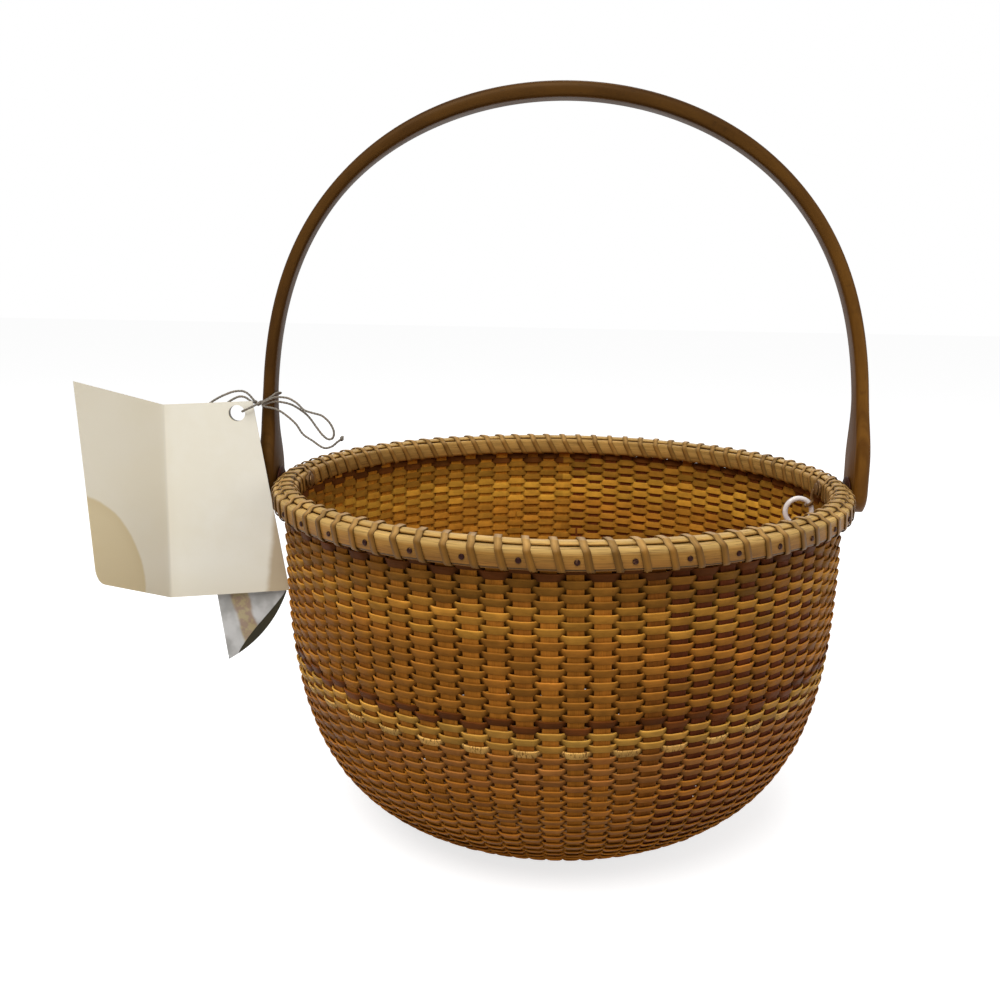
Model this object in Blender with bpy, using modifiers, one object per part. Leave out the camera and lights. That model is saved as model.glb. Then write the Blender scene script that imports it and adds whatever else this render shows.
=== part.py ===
# Round lightship basket with a swing handle: a turned base board, a woven wall,
# nailed and lashed rims, a bent handle on two pivots, and a paper tag on a string.
# Frame: metres, +Z up, origin under the middle of the base, handle in the XZ plane.

import math

import bmesh
import bpy
import numpy as np
from mathutils import Matrix, Vector

MM = 0.001

# Clearances and cuts
fit_gap = 0.3 * MM
seat_gap = 0.1 * MM
overrun = 2.0 * MM
weld_distance = 0.01 * MM

# Base board
board_radius = 64.0 * MM
board_height = 10.0 * MM
board_edge_round = 1.6 * MM
groove_depth = 6.0 * MM
foot_recess_radius = 48.0 * MM
foot_recess_depth = 1.2 * MM

# Woven wall: the outline follows (r/R)^4 + (1 - z/H)^3.2 = 1
wall_thickness = 2.2 * MM
stave_end_thickness = 1.5 * MM
stave_rib_depth = 1.0 * MM
wall_radius_power = 4.0
wall_height_power = 3.2
wall_rows = 5

# Rims
rim_radius = 126.5 * MM
rim_lower_z = 142.0 * MM
hoop_height = 8.0 * MM
outer_hoop_thickness = 4.2 * MM
inner_hoop_thickness = 3.0 * MM
hoop_corner = 1.5 * MM
stave_top_drop = 1.0 * MM
filler_width = 4.8 * MM
filler_height = 1.4 * MM
filler_crown_share = 0.6

# Staves, counted apart in front and behind so that one stands at each pivot
front_staves = 41
back_staves = 42
notch_pitch_share = 0.385

# Rim lashing: one turn in each gap between two staves
lashing_pitch_share = 0.296
lashing_thickness = 0.4 * MM
lashing_corner = 1.1 * MM
turn_shares = (0.0, 0.0, 0.05, 0.34, 0.42, 0.52, 0.6, 0.9)
pivot_turn_shares = (0.0, 0.0, 0.03, 0.1, 0.2, 0.8, 0.9, 0.97)

# Rim nails, in every second stave
nail_head_radius = 1.1 * MM
nail_head_height = 0.6 * MM
nail_shank_radius = 0.5 * MM
nail_grip = 1.6 * MM
nail_z_share = 0.44
nail_sides = 6
pilot_sides = 4
nails_start_stave = 3

# Handle: the middle line follows (x/A)^2 + (h/H)^2.9 = 1 above the pivots
pivot_z = 146.7 * MM
handle_apex_z = 317.8 * MM
handle_thickness = 6.8 * MM
handle_half_width = 6.0 * MM
handle_outer_corner = 2.4 * MM
handle_inner_corner = 1.2 * MM
tip_outer_corner_share = 0.45
tip_inner_corner_share = 0.3
handle_height_power = 2.9
arch_steps = 28
ear_radius = 10.0 * MM
ear_swell_low_z = 160.0 * MM
ear_swell_high_z = 190.0 * MM
ear_tip_angles = (20.0, 40.0, 60.0, 78.0)

# Pivots
spacer_radius = 6.0 * MM
spacer_thickness = 1.0 * MM
pin_radius = 1.8 * MM
pin_head_radius = 4.0 * MM
pin_head_height = 1.3 * MM
pin_head_crown_share = 0.55
clinch_radius = 4.0 * MM
clinch_thickness = 0.8 * MM
peen_radius = 2.8 * MM
peen_height = 1.0 * MM

# Keeper ring and the eye that carries it
eye_radius = 2.7 * MM
eye_thickness = 2.4 * MM
eye_hole_radius = 1.3 * MM
eye_neck_radius = 1.1 * MM
eye_drop = 6.5 * MM
eye_reach = 2.9 * MM
eye_tilt = math.radians(41.0)
eye_neck_sink_share = 0.8
keeper_major_radius = 6.0 * MM
keeper_minor_radius = 0.75 * MM

# Paper tag: a folded card with a smaller leaf behind it, on one punched hole.
# Corners are (x, z) shares of the card's width and height, counted from the punched hole.
card_width = 53.1 * MM
card_height = 87.0 * MM
card_thickness = 0.45 * MM
card_belly = 1.2 * MM
punch_radius = 3.5 * MM
punch_x = -142.4 * MM
punch_z = 178.0 * MM
card_open_y = -37.5 * MM
card_fold_y = -14.2 * MM
card_back_y = -12.2 * MM
open_edge_shares = ((-1.032, -0.809), (-1.085, 0.172))
fold_shares = ((-0.633, -0.962), (-0.588, 0.038))
back_edge_shares = ((0.367, -0.917), (0.128, 0.061))
card_columns = 6
card_rows = 5
leaf_thickness = 0.3 * MM
leaf_plane_y = -10.7 * MM
leaf_edge_bow = 3.8 * MM
leaf_top_shares = ((0.09, 0.046), (-0.452, 0.03))
leaf_bow_shares = ((-0.188, -1.309), (0.333, -0.931))
leaf_bow_steps = 6

# String: one grey twine, its routes chosen by hand
twine_radius = 0.5 * MM
twine_step = 3.0 * MM
knot_radius = 1.9 * MM
end_knot_radius = 1.5 * MM
knot_place = Vector((-133.6, -8.9, 182.0)) * MM
collar_route = (
    (-131.1, -7.5, 183.2), (-128.6, -7.3, 184.8), (-126.7, -6.4, 185.8), (-126.3, -3.0, 186.0),
    (-126.3, 3.0, 185.6), (-126.9, 6.7, 185.1), (-131.0, 7.7, 184.0), (-135.0, 7.2, 182.9),
    (-136.1, 3.0, 182.2), (-136.1, -2.5, 181.9), (-136.0, -6.0, 181.9))
bow_route = (
    (-130.9, -8.9, 182.9), (-128.3, -8.6, 184.2), (-125.7, -8.3, 184.8), (-121.3, -8.2, 184.4),
    (-117.5, -8.6, 182.4), (-114.1, -9.0, 179.4), (-110.4, -9.1, 178.2), (-106.4, -9.0, 177.0),
    (-103.2, -9.0, 174.0), (-101.5, -9.0, 170.4), (-102.0, -8.9, 167.4), (-104.2, -8.6, 166.7),
    (-106.8, -8.2, 168.6), (-109.4, -7.8, 171.9), (-112.3, -7.3, 175.8), (-115.1, -7.1, 178.4),
    (-120.2, -7.2, 181.5), (-125.7, -7.5, 182.7), (-128.6, -7.7, 182.5), (-131.0, -8.0, 181.7))
tail_route = (
    (-131.2, -8.6, 180.5), (-128.8, -8.2, 180.0), (-126.3, -8.0, 179.3), (-122.6, -7.7, 176.9),
    (-118.4, -7.6, 173.0), (-115.5, -7.5, 168.6), (-111.2, -7.5, 165.6), (-106.8, -7.5, 162.7),
    (-103.3, -7.5, 163.1), (-100.4, -7.5, 165.3), (-98.4, -7.5, 166.9))
left_loop_route = (
    (-135.9, -9.2, 183.4), (-137.9, -8.9, 185.6), (-140.6, -8.6, 187.1), (-144.6, -8.4, 186.9),
    (-149.0, -8.4, 185.3), (-153.0, -8.6, 183.2), (-156.4, -8.8, 180.7), (-157.9, -8.9, 178.6),
    (-156.2, -8.8, 177.0), (-152.6, -8.5, 178.5), (-148.4, -8.2, 181.5), (-145.2, -8.0, 183.6),
    (-142.4, -7.9, 184.7), (-139.8, -8.0, 184.3), (-137.3, -8.2, 182.6))
hanger_route = (
    (-132.7, -11.6, 182.4), (-133.0, -13.0, 182.2), (-134.6, -14.2, 181.4), (-136.8, -14.6, 180.3),
    (-138.8, -14.2, 179.4), (-140.0, -12.9, 178.8), (-140.2, -11.2, 178.7), (-139.7, -9.7, 178.9),
    (-138.3, -9.0, 179.7), (-136.6, -8.9, 180.7))

# How finely round pieces are cut
ring_steps = 54
board_steps = 32
pin_steps = 12
spacer_steps = 16
keeper_steps = 20
keeper_sides = 6
knot_steps = 10
route_samples = 12

# Sizes that follow from the ones above
wall_outer_radius = rim_radius - outer_hoop_thickness - fit_gap
wall_inner_radius = wall_outer_radius - wall_thickness
stave_pitch = math.pi * wall_outer_radius / back_staves
notch_width = stave_pitch * notch_pitch_share
lashing_width = stave_pitch * lashing_pitch_share
inner_hoop_outer = wall_inner_radius - fit_gap
inner_hoop_inner = inner_hoop_outer - inner_hoop_thickness
hoop_top_z = rim_lower_z + hoop_height
stave_top_z = hoop_top_z - stave_top_drop
filler_z = hoop_top_z + fit_gap
filler_top_z = filler_z + filler_height
filler_middle = (wall_outer_radius + wall_inner_radius) / 2
lashing_offset = fit_gap + lashing_thickness / 2
lashing_outer_radius = rim_radius + fit_gap + lashing_thickness
lashing_inner_radius = inner_hoop_inner - fit_gap - lashing_thickness
nail_z = rim_lower_z + hoop_height * nail_z_share
spacer_inner_x = lashing_outer_radius + 2 * seat_gap
ear_inner_x = spacer_inner_x + spacer_thickness + fit_gap
ear_outer_x = ear_inner_x + handle_thickness
clinch_outer_x = lashing_inner_radius - fit_gap
clinch_inner_x = clinch_outer_x - clinch_thickness
pin_head_x = ear_outer_x + fit_gap
pin_inner_x = clinch_inner_x - fit_gap
handle_half_span = ear_inner_x + handle_thickness / 2
handle_rise = handle_apex_z - handle_thickness / 2 - pivot_z


def clear_scene():
    for thing in list(bpy.data.objects):
        bpy.data.objects.remove(thing, do_unlink=True)


def collection(name):
    group = bpy.data.collections.new(name)
    bpy.context.scene.collection.children.link(group)
    return group


clear_scene()
basket = collection("nantucket_basket")
cutters = collection("cutters")


def finish(name, colour, roughness, metallic=0.0):
    material = bpy.data.materials.new(name)
    material.use_nodes = True
    shader = material.node_tree.nodes["Principled BSDF"]
    shader.inputs["Base Color"].default_value = (*colour, 1.0)
    shader.inputs["Roughness"].default_value = roughness
    shader.inputs["Metallic"].default_value = metallic
    return material


def add_mesh(name, mesh, material):
    thing = bpy.data.objects.new(name, mesh)
    basket.objects.link(thing)
    mesh.materials.clear()
    mesh.materials.append(material)
    return thing


def shade(thing, angle=math.radians(40.0)):
    thing.data.shade_smooth()
    thing.data.set_sharp_from_angle(angle=angle)


def make_cutter(thing):
    for group in list(thing.users_collection):
        group.objects.unlink(thing)
    cutters.objects.link(thing)
    thing.hide_render = True
    thing.display_type = "WIRE"
    return thing


def boolean(target, other, operation):
    modifier = target.modifiers.new(operation.lower() + " " + other.name, "BOOLEAN")
    modifier.operation = operation
    modifier.solver = "EXACT"
    modifier.object = other


def turned(name, profile, steps, material):
    """Screw a closed or axis-to-axis (radius, height) profile round Z."""
    mesh = bpy.data.meshes.new(name)
    points = [(radius, 0.0, height) for radius, height in profile]
    edges = [(i, i + 1) for i in range(len(points) - 1)]
    if profile[0][0] > 0.0:
        edges.append((len(points) - 1, 0))
    mesh.from_pydata(points, edges, [])
    thing = add_mesh(name, mesh, material)
    screw = thing.modifiers.new("turn", "SCREW")
    screw.steps = steps
    screw.render_steps = steps
    screw.use_merge_vertices = True
    screw.merge_threshold = weld_distance
    return thing


def rods(name, radius, sides, lines):
    """A cutter with one solid cylinder along each (start, end) line."""
    mesh = bpy.data.meshes.new(name)
    work = bmesh.new()
    for start, end in lines:
        turn = (end - start).to_track_quat("Z", "Y").to_matrix().to_4x4()
        bmesh.ops.create_cone(work, cap_ends=True, segments=sides, radius1=radius, radius2=radius,
                              depth=(end - start).length,
                              matrix=Matrix.Translation((start + end) / 2) @ turn)
    work.to_mesh(mesh)
    work.free()
    return make_cutter(add_mesh(name, mesh, dark_metal))


def loft(name, rings, material):
    """Skin closed rings of equal point counts, in order, with a cap at each end."""
    rings = np.asarray(rings)
    count, sides, _ = rings.shape
    mesh = bpy.data.meshes.new(name)
    work = bmesh.new()
    verts = [[work.verts.new(point) for point in ring] for ring in rings]
    for low, high in zip(verts[:-1], verts[1:]):
        for i in range(sides):
            j = (i + 1) % sides
            work.faces.new((low[i], low[j], high[j], high[i]))
    work.faces.new(verts[0])
    work.faces.new(verts[-1])
    bmesh.ops.recalc_face_normals(work, faces=work.faces)
    work.to_mesh(mesh)
    work.free()
    return add_mesh(name, mesh, material)


def smooth_route(route, step):
    """Points at even steps along a Catmull-Rom curve through a route in millimetres."""
    points = np.array(route) * MM
    ends = np.vstack((2 * points[0] - points[1], points, 2 * points[-1] - points[-2]))
    share = np.linspace(0.0, 1.0, route_samples, endpoint=False)[:, None]
    dense = []
    for a, b, c, d in zip(ends[:-3], ends[1:-2], ends[2:-1], ends[3:]):
        dense.append(0.5 * (2 * b + (c - a) * share + (2 * a - 5 * b + 4 * c - d) * share ** 2
                            + (3 * b - a - 3 * c + d) * share ** 3))
    dense = np.vstack(dense + [points[-1:]])
    run = np.concatenate(([0.0], np.cumsum(np.linalg.norm(np.diff(dense, axis=0), axis=1))))
    places = np.linspace(0.0, run[-1], round(run[-1] / step) + 1)
    return np.stack([np.interp(places, run, dense[:, axis]) for axis in range(3)], axis=1)


def tube(name, points, radius, material):
    curve = bpy.data.curves.new(name, "CURVE")
    curve.dimensions = "3D"
    curve.bevel_depth = radius
    curve.bevel_resolution = 2
    curve.use_fill_caps = True
    line = curve.splines.new("POLY")
    line.points.add(len(points) - 1)
    for spot, point in zip(line.points, points):
        spot.co = (*point, 1.0)
    curve.materials.append(material)
    thing = bpy.data.objects.new(name, curve)
    basket.objects.link(thing)
    return thing


def as_mesh(thing):
    """Turn a tube into a welded mesh object of the same name."""
    name = thing.name
    scene_graph = bpy.context.evaluated_depsgraph_get()
    mesh = bpy.data.meshes.new_from_object(thing.evaluated_get(scene_graph))
    work = bmesh.new()
    work.from_mesh(mesh)
    bmesh.ops.remove_doubles(work, verts=work.verts, dist=weld_distance)
    bmesh.ops.recalc_face_normals(work, faces=work.faces)
    work.to_mesh(mesh)
    work.free()
    material = thing.data.materials[0]
    place = thing.matrix_world.copy()
    bpy.data.objects.remove(thing, do_unlink=True)
    solid = add_mesh(name, mesh, material)
    solid.matrix_world = place
    return solid


board_wood = finish("board_wood", (0.28, 0.14, 0.05), 0.5)
cane_weave = finish("cane_weave", (0.42, 0.23, 0.08), 0.5)
hoop_cane = finish("hoop_cane", (0.55, 0.37, 0.15), 0.4)
lashing_cane = finish("lashing_cane", (0.5, 0.3, 0.1), 0.32)
handle_wood = finish("handle_wood", (0.2, 0.11, 0.03), 0.38)
dark_wood = finish("dark_wood", (0.04, 0.01, 0.01), 0.45)
dark_metal = finish("dark_metal", (0.12, 0.08, 0.05), 0.45, 1.0)
white_ring = finish("white_ring", (0.85, 0.82, 0.78), 0.35)
card_paper = finish("card_paper", (0.72, 0.65, 0.5), 0.7)
leaf_paper = finish("leaf_paper", (0.6, 0.6, 0.58), 0.5)
grey_twine = finish("grey_twine", (0.35, 0.3, 0.24), 0.8)


def gap_angles():
    """Angles round Z of the gaps between staves, from the left pivot round the front and back."""
    front = -math.pi + (np.arange(front_staves) + 0.5) * math.pi / front_staves
    back = (np.arange(back_staves) + 0.5) * math.pi / back_staves
    return np.concatenate((front, back))


def nail_angles():
    """Angles of the nails: every second stave, none beside a pivot."""
    front = np.arange(nails_start_stave, front_staves - nails_start_stave + 1, 2)
    back = np.arange(nails_start_stave, back_staves - 1, 2)
    return np.concatenate((front * math.pi / front_staves - math.pi, back * math.pi / back_staves))


def wall_height_at(radius):
    share = (1.0 - (radius / wall_outer_radius) ** wall_radius_power) ** (1.0 / wall_height_power)
    return rim_lower_z * (1.0 - share)


stave_end_low_z = wall_height_at(board_radius + fit_gap)
stave_end_high_z = stave_end_low_z + stave_end_thickness
notch_floor_z = rim_lower_z - 2 * lashing_offset - fit_gap


def make_base_board():
    groove_low = stave_end_low_z - fit_gap
    groove_high = stave_end_high_z + fit_gap
    groove_radius = board_radius - groove_depth
    edge = board_radius - board_edge_round
    profile = [
        (0.0, board_height), (edge, board_height), (board_radius, board_height - board_edge_round),
        (board_radius, groove_high), (groove_radius, groove_high), (groove_radius, groove_low),
        (board_radius, groove_low), (edge, 0.0), (foot_recess_radius, 0.0),
        (foot_recess_radius - foot_recess_depth, foot_recess_depth), (0.0, foot_recess_depth)]
    shade(turned("base_board", profile, board_steps, board_wood))


def wall_columns():
    """Angles round Z of each stave's middle and of the gap after it, and 1 for each gap."""
    front = -math.pi + np.arange(2 * front_staves) * math.pi / (2 * front_staves)
    back = np.arange(2 * back_staves) * math.pi / (2 * back_staves)
    angles = np.concatenate((front, back))
    return angles, np.arange(len(angles)) % 2


def wall_outline():
    """Outer line of the woven wall from the board to the hoops, and the inner line inside it.

    The rows lie at even steps of t in r = R sin(t)^(2/4) and z = H (1 - cos(t)^(2/3.2))."""
    start_share = (board_radius + fit_gap) / wall_outer_radius
    turns = np.linspace(math.asin(start_share ** (wall_radius_power / 2)), math.pi / 2, wall_rows + 1)
    outer = np.stack((wall_outer_radius * np.sin(turns) ** (2 / wall_radius_power),
                      rim_lower_z * (1.0 - np.cos(turns) ** (2 / wall_height_power))), axis=1)
    outer[-1, 1] = notch_floor_z
    slope = np.gradient(outer, axis=0)
    slope[-1] = (0.0, 1.0)
    slope /= np.linalg.norm(slope, axis=1)[:, None]
    inner = outer + np.stack((-slope[:, 1], slope[:, 0]), axis=1) * wall_thickness
    inner[-1] = (wall_inner_radius, notch_floor_z)
    return outer, inner


def make_bowl_space(inner):
    """What the wall goes round: the bowl down to the stave ends, and the board's middle."""
    tongue_radius = board_radius - groove_depth + fit_gap
    profile = [(0.0, stave_top_z + overrun), (wall_inner_radius, stave_top_z + overrun)]
    profile += [tuple(point) for point in inner[:0:-1]]
    profile += [(board_radius + fit_gap, stave_end_high_z), (tongue_radius, stave_end_high_z)]
    profile += [(tongue_radius, stave_end_low_z - overrun), (0.0, stave_end_low_z - overrun)]
    return make_cutter(turned("bowl_space", profile, ring_steps, cane_weave))


def make_woven_wall(nail_holes, pivot_holes):
    """A pot with a rib over each stave, hollowed by the bowl's space; its staves clear the hoop's flats."""
    outer, inner = wall_outline()
    angles, in_gap = wall_columns()
    outer[-1, 0] = wall_outer_radius * math.cos(math.pi / ring_steps)
    line = np.vstack((outer, (outer[-1, 0], stave_top_z)))
    depths = np.full((len(line), 1), stave_rib_depth)
    depths[0] = 0.0
    radii = line[:, :1] - depths * in_gap
    heights = np.broadcast_to(line[:, 1:], radii.shape)
    wall = loft("woven_wall", np.stack((radii * np.cos(angles), radii * np.sin(angles), heights), axis=-1),
                cane_weave)
    boolean(wall, make_bowl_space(inner), "DIFFERENCE")
    notch_height = stave_top_z - notch_floor_z + overrun
    mesh = bpy.data.meshes.new("stave_gaps")
    work = bmesh.new()
    middle = Vector((filler_middle, 0.0, notch_floor_z + notch_height / 2))
    size = Matrix.Diagonal((wall_thickness + 2 * overrun, notch_width, notch_height, 1.0))
    for angle in gap_angles():
        place = Matrix.Rotation(angle, 4, "Z") @ Matrix.Translation(middle) @ size
        bmesh.ops.create_cube(work, size=1.0, matrix=place)
    work.to_mesh(mesh)
    work.free()
    gaps = make_cutter(add_mesh("stave_gaps", mesh, cane_weave))
    boolean(wall, gaps, "DIFFERENCE")
    boolean(wall, nail_holes, "DIFFERENCE")
    boolean(wall, pivot_holes, "DIFFERENCE")
    shade(wall)


def make_rims(nail_holes, pivot_holes):
    low, high, corner = rim_lower_z, hoop_top_z, hoop_corner
    inside = rim_radius - outer_hoop_thickness
    outer_rim = turned("outer_rim", [
        (rim_radius - corner, high), (rim_radius, high - corner), (rim_radius, low + corner),
        (rim_radius - corner, low), (inside, low), (inside, high)], ring_steps, hoop_cane)
    inner_rim = turned("inner_rim", [
        (inner_hoop_outer, high), (inner_hoop_outer, low), (inner_hoop_inner + corner, low),
        (inner_hoop_inner, low + corner), (inner_hoop_inner, high - corner),
        (inner_hoop_inner + corner, high)], ring_steps, hoop_cane)
    for hoop in (outer_rim, inner_rim):
        boolean(hoop, nail_holes, "DIFFERENCE")
        boolean(hoop, pivot_holes, "DIFFERENCE")
        shade(hoop)
    half = filler_width / 2
    crown = half * filler_crown_share
    shade(turned("rim_filler", [
        (filler_middle + crown, filler_top_z), (filler_middle + half, filler_z),
        (filler_middle - half, filler_z), (filler_middle - crown, filler_top_z)],
        ring_steps, hoop_cane))


def lashing_section():
    """The eight (radius, height) points of one turn: under the hoops, up, over and down inside."""
    low = rim_lower_z - lashing_offset
    outside = rim_radius + lashing_offset
    inside = inner_hoop_inner - lashing_offset
    top = filler_top_z + lashing_offset
    corner = lashing_corner
    half = filler_width / 2
    return np.array([
        (inside + corner + lashing_offset, low), (outside - corner - lashing_offset, low),
        (outside, rim_lower_z + corner), (outside, hoop_top_z - corner),
        (filler_middle + half - lashing_offset, top), (filler_middle - half + lashing_offset, top),
        (inside, hoop_top_z - corner), (inside, rim_lower_z + corner)])


def make_lashing():
    gaps = gap_angles()[::-1]
    section = lashing_section()
    steps = gaps - np.append(gaps[1:], gaps[0] - 2 * math.pi)
    places, angles = [], []
    for gap, step in zip(gaps, steps):
        across_pivot = abs(math.sin(gap - step / 2)) < abs(math.sin(step / 4))
        shares = pivot_turn_shares if across_pivot else turn_shares
        for (radius, height), share in zip(section, shares):
            angle = gap - step * share
            places.append((radius * math.cos(angle), radius * math.sin(angle), height))
            angles.append(angle)
    path = np.array(places[:-1])
    angles = np.array(angles[:-1])
    ahead = np.gradient(path, axis=0)
    ahead /= np.linalg.norm(ahead, axis=1)[:, None]
    round_rim = np.stack((-np.sin(angles), np.cos(angles), np.zeros_like(angles)), axis=1)
    side = round_rim - ahead * np.sum(round_rim * ahead, axis=1)[:, None]
    side /= np.linalg.norm(side, axis=1)[:, None]
    face = np.cross(ahead, side)
    half_width, half_thick = side * lashing_width / 2, face * lashing_thickness / 2
    rings = np.stack((path - half_width - half_thick, path + half_width - half_thick,
                      path + half_width + half_thick, path - half_width + half_thick), axis=1)
    lashing = loft("rim_lashing", rings, lashing_cane)
    shade(lashing, math.radians(25.0))
    apart = np.linalg.norm(path[:, None] - path[None], axis=2)
    turn_length = len(section)
    near = np.abs(np.subtract.outer(np.arange(len(path)), np.arange(len(path)))) < turn_length / 2
    least = apart[~near].min() - lashing_width
    print("rim lashing: %d turns, least gap to itself %.2f mm" % (len(gaps), least / MM))


def place_at(angle, start_radius, end_radius, height):
    """Start and end of a line along a radius of the rim."""
    out = Vector((math.cos(angle), math.sin(angle), 0.0))
    lift = Vector((0.0, 0.0, height))
    return out * start_radius + lift, out * end_radius + lift


def nail_hole_cutter():
    """Pilot holes through the outer hoop and the staves, blind in the inner hoop."""
    deep = inner_hoop_outer - nail_grip - fit_gap
    radius = (nail_shank_radius + fit_gap) / math.cos(math.pi / pilot_sides)
    lines = [place_at(angle, deep, rim_radius + overrun, nail_z) for angle in nail_angles()]
    return rods("nail_holes", radius, pilot_sides, lines)


def make_nails():
    head_x = rim_radius + seat_gap
    tip_x = inner_hoop_outer - nail_grip
    profile = [
        (0.0, head_x + nail_head_height), (nail_head_radius, head_x + nail_head_height / 2),
        (nail_head_radius, head_x), (nail_shank_radius, head_x), (0.0, tip_x)]
    for number, angle in enumerate(nail_angles(), start=1):
        nail = turned("rim_nail_%02d" % number, profile, nail_sides, dark_metal)
        nail.rotation_euler = (0.0, math.pi / 2, angle)
        nail.location = (0.0, 0.0, nail_z)


def pivot_hole_cutter():
    """One bore along X through both sides of the rims and both ears of the handle."""
    lines = [(Vector((side * (lashing_inner_radius - overrun), 0.0, pivot_z)),
              Vector((side * (ear_outer_x + overrun), 0.0, pivot_z))) for side in (-1.0, 1.0)]
    return rods("pivot_holes", pin_radius + fit_gap, pin_steps, lines)


def handle_row(x, z, lean, half_width):
    """One section of the handle: eight points round (x, z), its outside turned by lean."""
    t, w = handle_thickness / 2, half_width
    c = min(handle_outer_corner, w * tip_outer_corner_share)
    i = min(handle_inner_corner, w * tip_inner_corner_share)
    corners = ((t, c - w), (t, w - c), (t - c, w), (i - t, w), (-t, w - i), (-t, i - w), (i - t, -w),
               (t - c, -w))
    out = np.array((math.cos(lean), 0.0, math.sin(lean)))
    across = np.array((0.0, 1.0, 0.0))
    return np.array((x, 0.0, z)) + np.array([out * a + across * b for a, b in corners])


def ear_half_width(z):
    """Half width of the leg: it swells from the plain leg to the ear on a smooth step."""
    share = np.clip((ear_swell_high_z - z) / (ear_swell_high_z - ear_swell_low_z), 0.0, 1.0)
    return handle_half_width + (ear_radius - handle_half_width) * share * share * (3 - 2 * share)


def make_handle(pivot_holes):
    turns = np.linspace(0.0, math.pi, arch_steps + 1)
    x = handle_half_span * np.cos(turns)
    z = pivot_z + handle_rise * np.sin(turns) ** (2.0 / handle_height_power)
    ahead = np.stack((np.gradient(x), np.gradient(z)), axis=1)
    ahead[0] = (0.0, 1.0)
    ahead[-1] = (0.0, -1.0)
    lean = np.arctan2(-ahead[:, 0], ahead[:, 1])
    rows = [handle_row(a, b, c, ear_half_width(b)) for a, b, c in zip(x, z, lean)]
    tip = [(ear_radius * math.cos(math.radians(a)), ear_radius * math.sin(math.radians(a)))
           for a in ear_tip_angles]
    right = [handle_row(handle_half_span, pivot_z - drop, 0.0, half) for half, drop in reversed(tip)]
    left = [handle_row(-handle_half_span, pivot_z - drop, math.pi, half) for half, drop in tip]
    handle = loft("handle", right + rows + left, handle_wood)
    boolean(handle, pivot_holes, "DIFFERENCE")
    shade(handle)


def lay_on_x(thing, side):
    """Turn a piece made round Z so that its +Z points out along X on the given side."""
    thing.rotation_euler = (0.0, side * math.pi / 2, 0.0)
    thing.location = (0.0, 0.0, pivot_z)


def washer(name, side, inner_x, thickness, radius, material):
    bore = pin_radius + fit_gap
    outer_x = inner_x + thickness
    thing = turned(name, [(radius, outer_x), (radius, inner_x), (bore, inner_x), (bore, outer_x)],
                   spacer_steps if radius > clinch_radius else pin_steps, material)
    lay_on_x(thing, side)
    shade(thing)


def pin_profile():
    top = pin_head_x + pin_head_height
    crown = pin_head_radius * pin_head_crown_share
    return [
        (0.0, top), (crown, top), (pin_head_radius, top - pin_head_height / 2),
        (pin_head_radius, pin_head_x), (pin_radius, pin_head_x), (pin_radius, pin_inner_x),
        (peen_radius, pin_inner_x), (peen_radius, pin_inner_x - peen_height / 2),
        (pin_radius, pin_inner_x - peen_height), (0.0, pin_inner_x - peen_height)]


def make_pivots():
    for name, side in (("left", -1.0), ("right", 1.0)):
        washer("spacer_washer_" + name, side, spacer_inner_x, spacer_thickness, spacer_radius,
               dark_wood)
        washer("clinch_washer_" + name, side, clinch_inner_x, clinch_thickness, clinch_radius,
               dark_metal)
    rivet = turned("pivot_rivet_left", pin_profile(), pin_steps, dark_metal)
    lay_on_x(rivet, -1.0)
    shade(rivet)
    make_eye_pin()


def make_eye_pin():
    pin = turned("pivot_pin_right", pin_profile(), pin_steps, dark_metal)
    lay_on_x(pin, 1.0)
    outward = Vector((math.cos(eye_tilt), 0.0, math.sin(eye_tilt)))
    along_ring = Vector((-math.sin(eye_tilt), 0.0, math.cos(eye_tilt)))
    neck_top = Vector((pin_inner_x - eye_neck_radius, 0.0, pivot_z))
    eye = Vector((pin_inner_x - eye_reach, 0.0, pivot_z - eye_drop))
    neck_low = eye + outward * eye_radius * eye_neck_sink_share
    for name, radius, start, end, operation in (
            ("eye_neck", eye_neck_radius, neck_top, neck_low, "UNION"),
            ("eye_boss", eye_radius, eye - along_ring * eye_thickness / 2,
             eye + along_ring * eye_thickness / 2, "UNION"),
            ("eye_hole", eye_hole_radius, eye - along_ring * eye_thickness,
             eye + along_ring * eye_thickness, "DIFFERENCE")):
        boolean(pin, rods(name, radius, pin_steps, [(start, end)]), operation)
    shade(pin)
    centre = eye - outward * keeper_major_radius
    shares = np.linspace(0.0, 2 * math.pi, keeper_sides, endpoint=False)
    profile = [(keeper_major_radius + keeper_minor_radius * math.cos(a),
                -keeper_minor_radius * math.sin(a)) for a in shares]
    ring = turned("keeper_ring", profile, keeper_steps, white_ring)
    ring.rotation_euler = (math.pi / 2, 0.0, 0.0)
    ring.location = centre
    shade(ring)


def tag_spot(shares, y):
    """A point of the tag at a depth y, from shares of the card's size."""
    return Vector((punch_x + shares[0] * card_width, y, punch_z + shares[1] * card_height))


def sheet_grid(edges, columns, rows):
    """Points of a bent sheet between (low, top) edges, each leaf bellied towards -Y."""
    points = []
    for row in range(rows + 1):
        v = row / rows
        spots = [low.lerp(top, v) for low, top in edges]
        points.append(spots[0])
        for left, right in zip(spots[:-1], spots[1:]):
            for column in range(1, columns + 1):
                u = column / columns
                spot = left.lerp(right, u)
                spot.y -= card_belly * math.sin(math.pi * u) * math.sin(math.pi * v)
                points.append(spot)
    return points


def punched(name, mesh, thickness, material):
    """Thicken a sheet and punch the string's hole through it along Y."""
    sheet = add_mesh(name, mesh, material)
    solid = sheet.modifiers.new("thickness", "SOLIDIFY")
    solid.thickness = thickness
    solid.offset = 0.0
    start = Vector((punch_x, card_fold_y - overrun, punch_z))
    end = Vector((punch_x, leaf_plane_y + overrun, punch_z))
    boolean(sheet, rods(name + "_punch", punch_radius, pin_steps, [(start, end)]), "DIFFERENCE")


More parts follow.
